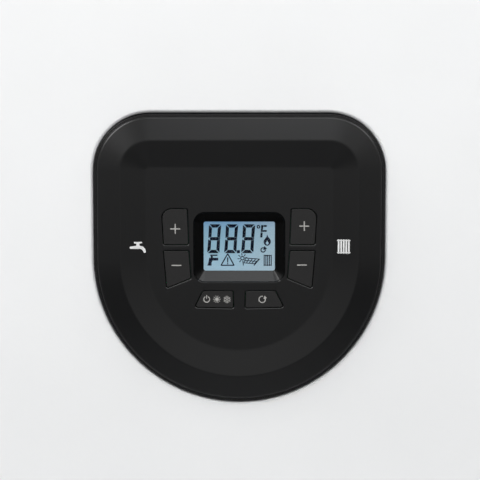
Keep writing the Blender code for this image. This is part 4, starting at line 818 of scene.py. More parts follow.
    def close(self, test: Callable[..., bool]) -> None:
        """Close the open loop that a test names with one face.

        Args:
            test: Which of the open edges.
        """
        with editing(self.piece) as mesh:
            self.select(mesh, "edges", lambda edge: edge.is_boundary and test(edge))
            bpy.ops.mesh.edge_face_add()

    def fill_border(self, test: Callable[..., bool]) -> None:
        """Fill between the open loops in one plane that a test names.

        Args:
            test: Which of the open edges.
        """
        with editing(self.piece) as mesh:
            self.select(mesh, "edges", lambda edge: len(edge.link_faces) < 2 and test(edge))
            bpy.ops.mesh.fill(use_beauty=True)

    def join(self, others: Sequence[Self]) -> None:
        """Take other pieces into this one.

        Args:
            others: The pieces, which are gone afterwards.
        """
        pick_up(self.piece)
        for other in others:
            other.piece.select_set(True)
        bpy.ops.object.join()

    def copy(self, name: str, move: Sequence[float]) -> Self:
        """Copy the piece, with a mesh of its own, and move the copy.

        Args:
            name: The copy's name.
            move: How far and which way it lies from this one.

        Returns:
            The copy.
        """
        pick_up(self.piece)
        bpy.ops.object.duplicate()
        twin = type(self)(name, bpy.context.active_object)
        twin.shift(move)
        return twin

    def shift(self, move: Sequence[float]) -> None:
        """Move the whole piece."""
        with editing(self.piece, whole=True):
            bpy.ops.transform.translate(value=move)

    def swing(self, degrees: float, centre: Sequence[float]) -> None:
        """Turn the whole piece about an upright line."""
        with editing(self.piece, whole=True):
            bpy.ops.transform.rotate(value=math.radians(degrees), orient_axis="Z", center_override=centre)

    def face_out(self) -> None:
        """Turn all faces outwards."""
        with editing(self.piece, whole=True):
            bpy.ops.mesh.normals_make_consistent(inside=False)

    def thicken(self, move: Sequence[float]) -> None:
        """Draw a flat sheet out into a thin solid.

        Args:
            move: How far and which way.
        """
        with editing(self.piece, whole=True):
            bpy.ops.mesh.extrude_region_move(TRANSFORM_OT_translate={"value": move})
        self.face_out()

    def weld(self, distance: float = 2 * CLOSE) -> Self:
        """Merge doubles and turn the faces outwards.

        Args:
            distance: How close two points are to be one.

        Returns:
            This piece.
        """
        with editing(self.piece, whole=True):
            bpy.ops.mesh.remove_doubles(threshold=distance)
            bpy.ops.mesh.normals_make_consistent(inside=False)
        return self

    def modify(self, kind: str, **settings: object) -> None:
        """Add a modifier and apply it.

        Args:
            kind: The modifier's type.
            settings: Its settings.
        """
        pick_up(self.piece)
        modifier = self.piece.modifiers.new(kind, kind)
        for name, setting in settings.items():
            setattr(modifier, name, setting)
        bpy.ops.object.modifier_apply(modifier=modifier.name)

    def smooth(self, degrees: float = 30.0) -> Self:
        """Shade smooth, but keep the edges above an angle.

        Args:
            degrees: The angle.

        Returns:
            This piece.
        """
        pick_up(self.piece)
        bpy.ops.object.shade_smooth_by_angle(angle=math.radians(degrees), keep_sharp_edges=True)
        self.modify("WEIGHTED_NORMAL", keep_sharp=True, weight=100)
        return self

    def dress(self, finish: Finish, body: str, *nodes: str) -> None:
        """Give the piece its finish and the body that it rides on.

        Args:
            finish: Its finish.
            body: The body's name.
            nodes: The frame's nodes that it stands for.
        """
        self.piece.data.materials.clear()
        self.piece.data.materials.append(finish.material())
        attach(self.piece, body)
        if nodes:
            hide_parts(*nodes)
        log.info("%s: %d faces", self.name, len(self.piece.data.polygons))


def grown(corners: Sequence[Point], distance: float) -> list[Vector]:
    """Move the sides of an outline outwards.

    Args:
        corners: Its corners, anticlockwise.
        distance: How far.

    Returns:
        The new corners.
    """
    moved = []
    for index, corner in enumerate(corners):
        here = Vector(corner)
        first = (here - Vector(corners[index - 1])).normalized()
        second = (Vector(corners[(index + 1) % len(corners)]) - here).normalized()
        inwards = (first.orthogonal() + second.orthogonal()) / (1 + first.dot(second))
        moved.append(here - inwards * distance)
    return moved


class Print:
    """Flat shapes that are printed, or shown, together on one face."""

    def __init__(self, name: str, origin: Point, y: float) -> None:
        """Set the origin from which the shapes are measured.

        Args:
            name: The name of the finished piece.
            origin: The origin's place across and up.
            y: The depth of the face.
        """
        self.name = name
        self.origin = Vector(origin)
        self.y = y
        self.shapes: list[Workpiece] = []

    def _at(self, point: Point) -> Point:
        """Turn a place in millimetres from the origin into metres in the room."""
        return tuple(self.origin + Vector(point) * MM)

    def shape(self, points: Sequence[Sequence[float]]) -> None:
        """Add a filled outline, its points in millimetres."""
        self.shapes.append(Workpiece.outline(self.name, [self._at(point) for point in points], self.y))

    def bar(self, start: Sequence[float], end: Sequence[float], width: float) -> None:
        """Add a straight stroke.

        Args:
            start: Where it starts.
            end: Where it ends.
            width: Its width.
        """
        start, end = Vector(start), Vector(end)
        side = (end - start).orthogonal().normalized() * width / 2
        self.shape([start - side, end - side, end + side, start + side])

    def ray(self, centre: Point, degrees: float, start: float, end: float, width: float) -> None:
        """Add a stroke that points away from a place."""
        way = heading(degrees)
        self.bar(Vector(centre) + way * start, Vector(centre) + way * end, width)

    def disc(self, centre: Point, radius: float, sides: int = 24) -> None:
        """Add a filled round."""
        self.shapes.append(Workpiece.disc(self.name, self._at(centre), radius * MM, self.y, sides))

    def arc(self, centre: Point, radius: float, width: float, start: float = 0.0, end: float = 360.0) -> None:
        """Add a curved stroke.

        Args:
            centre: The middle of its circle.
            radius: The radius of its middle line.
            width: Its width.
            start: Where it starts, in degrees from the right.
            end: Where it ends.
        """
        steps = max(6, round((end - start) / 15))
        turns = [math.radians(start + (end - start) * step / steps) for step in range(steps + 1)]
        inner, outer = ([(centre[0] + reach * math.cos(turn), centre[1] + reach * math.sin(turn))
                         for turn in turns] for reach in (radius - width / 2, radius + width / 2))
        for index in range(steps):
            self.shape([inner[index], outer[index], outer[index + 1], inner[index + 1]])

    def turning_arrow(self, centre: Point, radius: float, width: float) -> None:
        """Add a round arrow, which stands for starting again.

        Args:
            centre: Its middle.
            radius: Its radius.
            width: The width of its line.
        """
        first, last, half, length = 75.0, 375.0, 1.9 * width, 3.2 * width
        self.arc(centre, radius, width, first, last)
        side = heading(last)
        tip = Vector(centre) + side * radius
        self.shape([tip + side * half, tip + side.orthogonal() * length, tip - side * half])

    def slant(self, slope: float, base: float) -> None:
        """Lean the shapes over, level by level.

        Args:
            slope: The shift across for each unit up.
            base: The level that stays, in millimetres.
        """
        level_base = self._at((0.0, base))[1]
        for shape in self.shapes:
            with editing(shape.piece) as mesh:
                for level in sorted({round(vertex.co.z, 7) for vertex in mesh.verts}):
                    bpy.ops.mesh.select_all(action="DESELECT")
                    shape.select(mesh, "verts", lambda vertex: abs(vertex.co.z - level) < FINE)
                    bpy.ops.transform.translate(value=((level - level_base) * slope, 0, 0))

    def lay_back(self, degrees: float, pivot: float) -> None:
        """Turn the shapes about an upright line, on to a sloping face."""
        for shape in self.shapes:
            shape.swing(degrees, (pivot, self.y, 0.0))

    def copies(self, across: float) -> list[Workpiece]:
        """Copy the shapes to a place beside them."""
        return [shape.copy(self.name, (across * MM, 0, 0)) for shape in self.shapes]

    def press(self, finish: Finish, body: str, thickness: float) -> None:
        """Join the shapes and give the ink its thickness.

        Args:
            finish: Its finish.
            body: The body that it rides on.
            thickness: How thick it lies.
        """
        whole = self.shapes[0]
        whole.join(self.shapes[1:])
        whole.weld(FINE)
        whole.thicken((0, -thickness, 0))
        whole.dress(finish, body)


@dataclass
class DisplayFace:
    """What the display shows: three digits, a unit and small pictures."""

    corner: Point = (-0.01975, -0.4821)
    y: float = -0.2970
    ink: float = 0.00004
    digit: Point = (6.85, 16.1)
    stroke: float = 1.85
    gap: float = 0.2
    first: float = 1.85
    pitch: float = 9.45
    foot: float = -17.65
    lean: float = 0.066
    cut: float = 0.2
    tip: float = 0.15
    taper: float = 0.8
    dot: Point = (18.35, 1.7)
    dot_lean: float = 0.12
    lift: float = 0.0005

    def print(self, name: str) -> Print:
        """Start a print that is measured from the window's top left corner."""
        return Print(name, self.corner, self.y)

    def digits(self) -> None:
        """Make the three seven-bar digits and the point."""
        (wide, tall), stroke, gap, foot = self.digit, self.stroke, self.gap, self.foot
        middle, half, end = tall / 2, stroke / 2, gap + self.cut
        left, right = self.taper * stroke, wide - self.taper * stroke
        bar = [(end, 0), (stroke + gap, stroke), (wide - stroke - gap, stroke), (wide - end, 0)]
        crossbar = [(gap + self.tip, middle), (left, middle + half), (right, middle + half),
                    (wide - gap - self.tip, middle), (right, middle - half), (left, middle - half)]
        upright = [(0, end), (stroke, stroke + gap), (stroke, middle - half - gap), (self.tip, middle - end)]
        upper, upper_bar = ([(x, tall - z) for x, z in points] for points in (upright, bar))
        figure = self.print("display_digits")
        for points in (upper_bar, bar, crossbar):
            figure.shape([(self.first + x, foot + z) for x, z in points])
        for points in (upright, upper):
            figure.shape([(self.first + x, foot + z) for x, z in points])
            figure.shape([(self.first + wide - x, foot + z) for x, z in points])
        figure.slant(self.lean, foot)
        figure.shapes += [twin for place in (1, 2) for twin in figure.copies(place * self.pitch)]
        x, size = self.dot
        top, lean = foot + size, self.dot_lean
        figure.shape([(x, foot), (x + size, foot), (x + size + lean, top), (x + lean, top)])
        figure.press(SEGMENT, "casing", self.ink)

    def unit(self) -> None:
        """Make the degree ring and the unit's letter."""
        mark = self.print("display_unit")
        mark.arc((30.4, -2.93), 0.72, 0.62)
        mark.shape([(31.4, -8.9), (32.55, -8.9), (32.75, -6.1), (31.6, -6.1)])
        mark.shape([(31.65, -5.8), (32.8, -5.8), (33.1, -2.0), (31.95, -2.0)])
        mark.shape([(33.15, -3.0), (35.0, -3.0), (35.05, -2.0), (33.2, -2.0)])
        mark.shape([(32.85, -5.75), (35.0, -5.75), (35.05, -4.75), (32.9, -4.75)])
        mark.press(SEGMENT, "casing", self.ink)

    @staticmethod
    def flame(signs: Print) -> None:
        """Add the flame, its two halves round a hollow.

        Args:
            signs: The print that takes it.
        """
        signs.shape([(35.3, -7.7), (35.3, -11.0), (34.95, -11.7), (34.5, -12.4), (34.7, -13.1),
                     (35.3, -13.5), (35.3, -14.0), (34.6, -13.9), (33.8, -13.3), (33.3, -12.4),
                     (33.3, -11.3), (33.9, -10.3), (34.8, -9.3)])
        signs.shape([(35.3, -7.7), (35.7, -8.9), (36.5, -9.8), (37.2, -10.9), (37.3, -12.2),
                     (36.8, -13.2), (36.0, -13.9), (35.3, -14.0), (35.3, -13.5), (35.9, -13.1),
                     (36.1, -12.4), (35.65, -11.7), (35.3, -11.0)])

    @staticmethod
    def tap(signs: Print) -> None:
        """Add the tap: its spout, its stem and its handle.

        Args:
            signs: The print that takes it.
        """
        signs.shape([(3.05, -20.7), (8.0, -20.7), (8.1, -22.2), (4.75, -22.3), (4.35, -23.6), (4.35, -25.1),
                     (1.9, -25.1), (2.5, -23.4)])
        signs.shape([(3.9, -19.7), (5.0, -19.7), (5.1, -20.69), (3.9, -20.69)])
        signs.shape([(3.5, -18.95), (7.6, -18.9), (7.6, -19.65), (3.65, -19.69)])

    @staticmethod
    def warning(signs: Print) -> None:
        """Add the warning triangle with its mark.

        Args:
            signs: The print that takes it.
        """
        apex, width = (13.3, -18.45), 0.66
        signs.bar(apex, (9.6, -25.0), width)
        signs.bar(apex, (16.9, -25.0), width)
        signs.bar((9.5, -24.9), (17.0, -24.9), width)
        signs.shape([(12.9, -20.5), (13.7, -20.5), (13.55, -23.4), (13.05, -23.4)])
        signs.bar((13.3, -23.7), (13.3, -24.35), 0.62)

    @staticmethod
    def solar(signs: Print) -> None:
        """Add the sun and the panel that it shines on.

        Args:
            signs: The print that takes it.
        """
        sun, long_ray, width = (21.5, -20.95), 6, 0.45
        signs.arc(sun, 0.95, 0.55)
        for step in range(8):
            signs.ray(sun, 45 * step + 8, 1.5, 4.1 if step == long_ray else 2.75, 0.5)
        corner, across, down = Vector((23.3, -20.85)), Vector((7.6, -0.6)), Vector((-1.0, -2.7))
        for step in range(3):
            start = corner + down * step / 2
            signs.bar(start, start + across * (1 - 0.12 * step), width)
        for step in range(5):
            share = across * step / 4
            signs.bar(corner + share, corner + down + share * 0.76, width)
        signs.bar((31.0, -21.3), (27.9, -25.0), 0.6)

    @staticmethod
    def radiator(signs: Print) -> None:
        """Add the radiator's five columns and two rails.

        Args:
            signs: The print that takes it.
        """
        for step in range(5):
            place = 33.6 + step * 0.98
            signs.bar((place, -19.05), (place, -25.25), 0.55)
        for rail in (-19.5, -24.8):
            signs.bar((33.4, rail), (37.75, rail), 0.45)

    def pictures(self) -> None:
        """Make the small signs round the digits."""
        signs = Print("display_signs", (self.corner[0], self.corner[1] + self.lift), self.y)
        for draw in (self.flame, self.tap, self.warning, self.solar, self.radiator):
            draw(signs)
        signs.turning_arrow((33.0, -16.35), 1.2, 0.62)
        signs.press(SIGN, "casing", self.ink)

    def build(self) -> None:
        """Make all that the display shows."""
        self.digits()
        self.unit()
        self.pictures()


@dataclass
class PanelPrints:
    """The white signs on the panel and the grey legends on its keys."""

    arc: Point = (0.00015, -0.50085)
    ink: float = 0.00003
    sign: float = 5.4
    stroke: float = 0.62
    slope: float = 12.8

    def panel_signs(self, y: float, foot: float) -> None:
        """Print the tap and the radiator on the slopes beside their keys.

        Args:
            y: The depth of the panel's flat middle.
            foot: How far from the middle the slopes start.
        """
        tap = Print("print_tap", self.arc, y - 2 * self.ink)
        tap.shape([(-58.1, 7.95), (-53.7, 7.95), (-53.7, 7.15), (-55.1, 7.0), (-55.0, 5.75), (-56.9, 5.75),
                   (-56.8, 7.0), (-58.1, 7.15)])
        tap.shape([(-60.4, 5.35), (-57.2, 5.75), (-54.6, 5.75), (-53.1, 5.3), (-52.0, 4.2), (-51.55, 2.6),
                   (-51.75, 1.9), (-52.6, 1.75), (-53.1, 2.9), (-53.9, 3.75), (-54.9, 4.1), (-60.2, 4.1),
                   (-60.5, 4.7)])
        tap.lay_back(-self.slope, -foot)
        tap.press(PRINT, "casing", self.ink)
        radiator = Print("print_radiator", self.arc, y - 2 * self.ink)
        for step in range(5):
            place = 54.55 + step * 1.41
            radiator.bar((place, 1.55), (place, 9.3), 0.9)
        radiator.bar((53.7, 8.75), (61.1, 8.75), 0.5)
        radiator.bar((53.7, 2.1), (61.1, 2.1), 0.5)
        radiator.lay_back(self.slope, foot)
        radiator.press(PRINT, "casing", self.ink)

    def key_legends(self, y: float) -> None:
        """Print the legends of the six keys.

        Args:
            y: The depth of the keys' faces.
        """
        half, stroke = self.sign / 2, self.stroke
        for name, (x, z) in {"water_plus": (-35.4, 15.0), "heating_plus": (35.6, 16.55),
                             "water_minus": (-34.8, -5.15), "heating_minus": (34.4, -4.95)}.items():
            sign = Print(f"legend_{name}", self.arc, y)
            sign.bar((x - half, z), (x + half, z), stroke)
            if name.endswith("plus"):
                sign.bar((x, z - half), (x, z - stroke / 2), stroke)
                sign.bar((x, z + stroke / 2), (x, z + half), stroke)
            sign.press(LEGEND, name, self.ink)
        power, sun, flake, thin = (-18.15, -23.95), (-12.5, -23.9), (-6.9, -24.05), 0.34
        mode = Print("legend_mode", self.arc, y)
        mode.arc(power, 1.62, 0.5, 118.0, 422.0)
        mode.ray(power, 90.0, 2.35, 0.25, 0.5)
        mode.disc(sun, 0.95)
        for step in range(10):
            mode.ray(sun, 36 * step, 1.15, 2.1, thin)
        for step in range(6):
            turn = 60 * step + 30
            mode.ray(flake, turn, 0.2, 2.1, thin)
            way = heading(turn)
            for side in (-way.orthogonal(), way.orthogonal()):
                mode.bar(Vector(flake) + way * 1.05, Vector(flake) + way * 1.65 + side * 0.75, 0.3)
        mode.press(LEGEND, "mode", self.ink)
        reset = Print("legend_reset", self.arc, y)
        reset.turning_arrow((12.5, -24.0), 1.75, 0.52)
        reset.press(LEGEND, "reset", self.ink)


@dataclass(frozen=True)
class KeyShape:
    """One key's body, its corners and the radius at each."""

    body: str
    corners: list[Point]
    radii: list[float]


@dataclass
class ControlPanel:
    """The black moulded panel with its keys and display."""

    front: float = -0.300
    arc_z: float = -0.502
    half: float = 0.080
    top: float = -0.4228
    top_radius: float = 0.031
    skirt: float = 0.012
    wall: float = 0.0012
    rim: Point = (0.0011, 0.0004)
    step: Point = (0.0019, 0.0021)
    ridge: Point = (0.0147, 0.0068)
    plateau: Point = (0.0288, 0.0036)
    lead: float = 0.0020
    bends: tuple[float, ...] = (0, 0.00035, 0.0002, 0.0022, 0.0022, 0.0080, 0)
    funnel: Point = (0.0507, 0.0392)
    funnel_rise: float = 0.0059
    funnel_radius: float = 0.0064
    funnel_depth: float = 0.0050
    funnel_edge: tuple[float, float, float] = (0.0020, 35.0, 75.0)
    window: Point = (0.0395, 0.0272)
    window_rise: float = 0.0063
    window_radius: float = 0.0011
    slit: float = 0.0003
    slot_edge: tuple[float, float, float] = (0.0013, 22.0, 55.0)
    # How far the sheet of painted shade stands in front of the display surround, and how steeply a foot face
    # must face up to be left without it.
    mask: float = 0.00004
    mask_end: float = 0.82
    slot_depth: float = 0.0030
    key_proud: float = -0.0003
    key_round: float = 0.00035
    key_skirt: float = 0.0030
    key_corner: float = 0.0009
    key_shoulder: float = 0.0052
    least_corner: float = 0.0002
    stem: float = 0.0040
    stem_end: float = -0.2889

    @property
    def plateau_y(self) -> float:
        """The depth of the panel's flat middle."""
        return self.front - self.plateau[1]

    def shield(self, name: str, growth: float, y: float) -> Workpiece:
        """Make the panel's outline, grown or shrunk.

        Args:
            name: The piece's name.
            growth: How far its sides stand off the panel's.
            y: Its depth.

        Returns:
            The flat piece.
        """
        reach = self.half + growth
        sheet = Workpiece.sheet(name, (-reach, reach), (self.arc_z - reach, self.top + growth), y)
        sheet.round_corners(reach, 40, lambda vertex: vertex.co.z < self.arc_z)
        return sheet.round_corners(self.top_radius + growth, 20,
                                   lambda vertex: vertex.co.z > self.top + growth - CLOSE)

    def keys(self) -> list[KeyShape]:
        """Work out the six keys, each a share of a box beside the middle line.

        Returns:
            The keys.
        """
        small, shoulder = self.key_corner, self.key_shoulder
        rows = (
            ("plus", (0.0280, 0.0075), (0.0147, 0.0195), ((0, 0), (0.925, 0), (1, 1), (0.05, 1)), shoulder),
            ("minus", (0.0268, -0.0165), (0.0149, 0.0205), ((0, 0.26), (0.886, 0), (1, 1), (0.08, 1)), small),
            ("", (0.0033, -0.0276), (0.0211, 0.0093), ((0, 0), (1, 0.05), (0.79, 1), (0.015, 1)), small),
        )
        made = []
        for side, name, lowest in ((-1, "water", "mode"), (1, "heating", "reset")):
            for row, (inner, foot), (width, height), shares, outer in rows:
                corners = [(side * (inner + u * width), self.arc_z + foot + v * height) for u, v in shares]
                radii = [small, small, outer, small]
                if side < 0:
                    corners.reverse()
                    radii.reverse()
                made.append(KeyShape(f"{name}_{row}" if row else lowest, corners, radii))
        return made

    def key_sheet(self, name: str, key: KeyShape, growth: float, y: float) -> Workpiece:
        """Make one key's outline, grown or shrunk.

        Args:
            name: The piece's name.
            key: The key.
            growth: How far its sides stand off the key's.
            y: Its depth.

        Returns:
            The flat piece.
        """
        moved = grown(key.corners, growth)
        sheet = Workpiece.outline(name, moved, y)
        for here, before, after, radius in zip(moved, moved[-1:] + moved, moved[1:] + moved[:1], key.radii):
            half = (before - here).angle(after - here) / 2
            sheet.round_corners(max(radius + growth, self.least_corner) / math.tan(half), 8,
                                lambda vertex: (vertex.co.xz - here).length < 2 * CLOSE)
        return sheet

    def funnel_skin(self) -> Workpiece:
        """Make the sloping surround of the display, with its rolled mouth.

        Returns:
            The surround, open at its mouth and its throat.
        """
        y = self.plateau_y
        back = y + self.funnel_depth
        mouth = self._rounded("funnel_mouth", self.funnel, self.funnel_rise, self.funnel_radius, y)
        roll = dished(*self.funnel_edge)
        mouth.terrace(roll)
        mouth.drop_front(y - roll[-1][1])
        mouth.join([self._rounded("funnel_throat", self.window, self.window_rise, self.window_radius, back)])
        mouth.drop_front(back)
        with editing(mouth.piece) as mesh:
            mouth.select(mesh, "edges",
                         lambda edge: len(edge.link_faces) < 2 and edge.verts[0].co.y > y + CLOSE)
            bpy.ops.mesh.bridge_edge_loops()
        return mouth

    def funnel_mask(self) -> None:
        """Lay a darker, duller sheet on the surround's top and sides as painted shade, but not on the foot
        that faces up to the light.
        """
        mask = self.funnel_skin()
        mask.face_out()
        middle = self.arc_z + self.window_rise
        # The foot's faces that face up, and so catch the light above, are cut out of the painted shade.
        with editing(mask.piece) as mesh:
            mask.select(mesh, "faces", lambda face: face.calc_center_median().z < middle and (
                abs(face.normal.z) > self.mask_end * face.normal.xz.length))
            bpy.ops.mesh.delete(type="FACE")
        mask.shift((0, -self.mask, 0))
        mask.thicken((0, self.mask / 2, 0))
        Workpiece("funnel_mask", mask.piece).smooth(40.0).dress(PAINTED_SHADE, "casing")

    def _rounded(self, name: str, size: Point, rise: float, radius: float, y: float) -> Workpiece:
        """Make a rounded rectangle round the display.

        Args:
            name: The piece's name.
            size: Its width and height.
            rise: Its middle, above the arc's.
            radius: Its corner radius.
            y: Its depth.

        Returns:
            The flat piece.
        """
        half_width, half_height = size[0] / 2, size[1] / 2
        middle = self.arc_z + rise
        sheet = Workpiece.sheet(
            name, (-half_width, half_width), (middle - half_height, middle + half_height), y)
        return sheet.round_corners(radius, 10, lambda _: True)

    def fascia(self) -> None:
        """Make the moulding with its ridge, funnel and key slots."""
        level, (inset, height) = self.plateau_y, self.plateau
        skin = self.shield("fascia", 0.0, self.front)
        line = fillet([(0, 0), (0, self.rim[1]), self.rim, self.step, self.ridge, self.plateau,
                       (inset + self.lead, height)], self.bends, 6)
        skin.terrace(line[:-1])
        skin.drop_front(self.front)
        skin.drop_front(level)
        parts = [self.funnel_skin()]
        roll = dished(*self.slot_edge)
        for key in self.keys():
            mouth = self.key_sheet(f"slot_{key.body}", key, self.slit + roll[-1][0], level)
            mouth.terrace([*roll, (roll[-1][0], -self.slot_depth)])
            mouth.drop_front(level + self.slot_depth)
            parts.append(mouth)
        skin.join(parts)
        skin.fill_border(at_depth(level))
        skin.pull_border((0, self.skirt, 0), at_depth(self.front))
        skin.weld()
        skin.modify("SOLIDIFY", thickness=self.wall, offset=-1.0, use_even_offset=False)
        skin.smooth(28.0).dress(PANEL, "casing", "control_fascia")

    def key(self, key: KeyShape) -> None:
        """Make one key with its rounded edge, skirt and stem.

        Args:
            key: Its outline.
        """
        edge = self.plateau_y - self.key_proud + self.key_round
        cap = self.key_sheet(f"cap_key_{key.body}", key, 0.0, edge)
        quarter = [math.pi / 2 * step / 5 for step in range(6)]
        cap.terrace([(self.key_round * (1 - math.cos(turn)), self.key_round * math.sin(turn))
                     for turn in quarter])
        cap.pull_border((0, self.key_skirt, 0), lambda _: True)
        cap.close(lambda _: True)
        back, half = edge + self.key_skirt, self.stem / 2
        x, z = sum((Vector(corner) for corner in key.corners), Vector((0, 0))) / len(key.corners)
        post = Workpiece.sheet("post", (x - half, x + half), (z - half, z + half), back)
        post.round_corners(half * 0.4, 4, lambda _: True)
        post.pull_border((0, self.stem_end - back, 0), lambda _: True)
        post.close(at_depth(self.stem_end))
        post.weld()
        cap.weld()
        cap.join([post])
        cap.smooth().dress(KEY, key.body, f"key_{key.body}")

    def build(self) -> None:
        """Make the whole panel."""
        self.fascia()
        for key in self.keys():
            self.key(key)
        width, height = self.window
        foot = self.arc_z + self.window_rise - height / 2
        carry("lcd_module", Backlight("finish_display_glow", Slot.DISPLAY, foot, height, width / 2))
        carry("lcd_window", PANE)
        # Painted shade on the display surround's top and sides.
        self.funnel_mask()
        DisplayFace().build()
        prints = PanelPrints()
        prints.panel_signs(self.plateau_y, self.half - self.plateau[0])
        prints.key_legends(self.plateau_y - self.key_proud)


def carry(node: str, finish: Finish) -> None:
    """Give a node of the frame its finish.

    Args:
        node: The node's name.
        finish: Its finish.
    """
    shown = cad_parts[node]
    for place in shown.material_slots:
        place.material = finish.material()
    log.info("%s: carried over", node)


def thread(radius: float, low: float, high: float, pitch: float, depth: float) -> list[Point]:
    """Return the profile of a screw thread, drawn as rings.

    Args:
        radius: Its outer radius.
        low: The height of its foot.
        high: The height of its top.
        pitch: The distance from ridge to ridge.
        depth: The depth of its grooves.

    Returns:
        Points of radius and height.
    """
    points = []
    for turn in range(int((high - low) / pitch)):
        foot = low + turn * pitch
        points += [(radius - depth, foot), (radius, foot + 0.38 * pitch), (radius, foot + 0.52 * pitch),
                   (radius - depth, foot + 0.9 * pitch)]
    return points


@dataclass
class Connections:
    """The brass tails under the casing and the filling valve between two of them."""

    depth: float = -0.110
    level: float = -0.640
    spacing: float = 0.062
    large: float = 0.0132
    small: float = 0.0105
    collar: float = 0.004
    drop: float = 0.026
    top: float = 0.0597
    valve_x: float = 0.093

    def tail(self, name: str, x: float, radius: float) -> Workpiece:
        """Make one threaded tail with its bore and hexagon.

        Args:
            name: Its node.
            x: Its place across.
            radius: Its thread's radius.

        Returns:
            The bare tail.
        """
        place = (x, self.depth, self.level)
        bore, neck = radius - self.collar, radius - self.collar / 2
        pitch = 0.0023 if radius > 0.012 else 0.0018
        profile = [(bore, -0.006), (bore, 0.001 - self.drop), (bore + 0.0008, -self.drop),
                   (radius - 0.0016, -self.drop), *thread(radius, 0.0004 - self.drop, -0.0045, pitch, 0.0011),
                   (neck, -self.collar), (neck, self.top)]
        pipe = Workpiece.turned(name, place, profile)
        nut, low = radius + self.collar, 0.0055
        high = low + 2 * self.collar
        sides = [(nut - 0.0012, low), (nut, low + 0.0008), (nut, high - 0.0008), (nut - 0.0012, high)]
        flats = Workpiece.turned("hexagon", place, sides, 6)
        pipe.join([flats])
        return pipe

    def valve(self) -> None:
        """Make the filling valve with its swollen body."""
        thin, thick = 0.008, 0.012
        profile = [(0.0072, -0.012), (thin, -0.0112), (thin, 0.0196), (0.0084, 0.0206),
                   (thick - 0.0004, 0.0234), (thick, 0.0244), (thick, 0.0396), (thick - 0.0004, 0.0406),
                   (0.0084, 0.0434), (thin, 0.0444), (thin, self.top)]
        valve = Workpiece.turned("filling_valve", (self.valve_x, self.depth, self.level), profile)
        valve.smooth().dress(BRASS, "casing", "filling_valve")

    def build(self) -> None:
        """Make all the connections."""
        pitch = self.spacing
        flow = self.tail("heating_flow_tail", -2 * pitch, self.large)
        hot = self.tail("hot_water_tail", -pitch, self.small)
        tails = (flow, hot, flow.copy("gas_tail", (2 * pitch, 0, 0)),
                 hot.copy("cold_water_tail", (2 * pitch, 0, 0)),
                 flow.copy("heating_return_tail", (4 * pitch, 0, 0)))
        for made in tails:
            made.smooth().dress(BRASS, "casing", made.name)
        self.valve()


@dataclass
class Gauge:
    """The round pressure gauge in the underside, its dial facing down."""

    place: Place = (-0.031, -0.215, -0.640)
    low: float = -0.0033
    dial: float = -0.0011
    paper: float = 0.00006
    gap: float = 0.00002
    ink: float = 0.00003
    first_turn: float = 190.0
    sweep: float = 270.0
    figures: int = 4
    between: int = 5

    @property
    def print_level(self) -> float:
        """The height of the scale on the dial's paper."""
        return self.dial - self.paper - self.gap

    def case(self) -> None:
        """Make the case with its rounded bezel."""
        low, dial = self.low, self.dial
        profile = [(0.0190, dial), (0.0190, low + 0.0007), (0.0196, low + 0.0001), (0.0203, low),
                   (0.0219, low), (0.0227, low + 0.0003), (0.0230, low + 0.0011), (0.0230, -0.0003),
                   (0.0200, -0.0003), (0.0200, 0.0208), (0.0196, 0.0216), (0.0188, 0.0220)]
        Workpiece.turned("pressure_gauge", self.place, profile, 64).smooth().dress(
            DARK, "casing", "pressure_gauge")

    def face(self) -> None:
        """Lay the white dial in the case."""
        edge, top = self.dial - self.paper / 6, self.dial - self.paper
        paper = [(0.0186, edge), (0.0186, top + self.gap), (0.0184, top)]
        Workpiece.turned("gauge_dial", self.place, paper, 64).smooth().dress(PRINT, "casing")

    def mark(self, reach: float, length: float, width: float, turn: float) -> Workpiece:
        """Draw one stroke of the scale.

        Args:
            reach: How far out its end lies.
            length: Its length.
            width: Its width.
            turn: Its direction, in degrees from the right as seen from below.

        Returns:
            The flat stroke.
        """
        x, y, z = self.place
        bpy.ops.mesh.primitive_plane_add(size=1.0, location=(x + reach - length / 2, y, z + self.print_level),
                                         rotation=FACING_DOWN)
        bpy.context.active_object.scale = (length, width, 1.0)
        stroke = Workpiece("gauge_scale", settled())
        stroke.swing(turn, self.place)
        return stroke

    def figure(self, text: str, reach: float, size: float, turn: float) -> Workpiece:
        """Write one plain number on the dial.

        Args:
            text: The number.
            reach: How far out its middle lies.
            size: Its height.
            turn: Its direction, in degrees from the right as seen from below.

        Returns:
            The flat number.
        """
        x, y, z = self.place
        across, up = heading(turn) * reach
        bpy.ops.object.text_add(location=(x + across, y - up, z + self.print_level), rotation=FACING_DOWN)
        letters = bpy.context.active_object.data
        letters.body, letters.size = text, size
        letters.align_x = letters.align_y = "CENTER"
        bpy.ops.object.convert(target="MESH")
        return Workpiece("gauge_number", settled())

    def scale(self) -> None:
        """Print the scale's strokes and numbers."""
        parts = []
        steps = self.figures * self.between
        for step in range(steps + 1):
            turn = self.first_turn - self.sweep * step / steps
            number, short = divmod(step, self.between)
            length, width = (0.0017, 0.0003) if short else (0.0030, 0.00055)
            parts.append(self.mark(0.0178, length, width, turn))
            if not short:
                parts.append(self.figure(str(number), 0.0120, 0.0042, turn))
        whole = parts[0]
        whole.join(parts[1:])
        whole.face_out()
        whole.thicken((0, 0, -self.ink))
        whole.dress(DARK, "casing")

    def build(self) -> None:
        """Make the gauge."""
        self.case()
        self.face()
        self.scale()


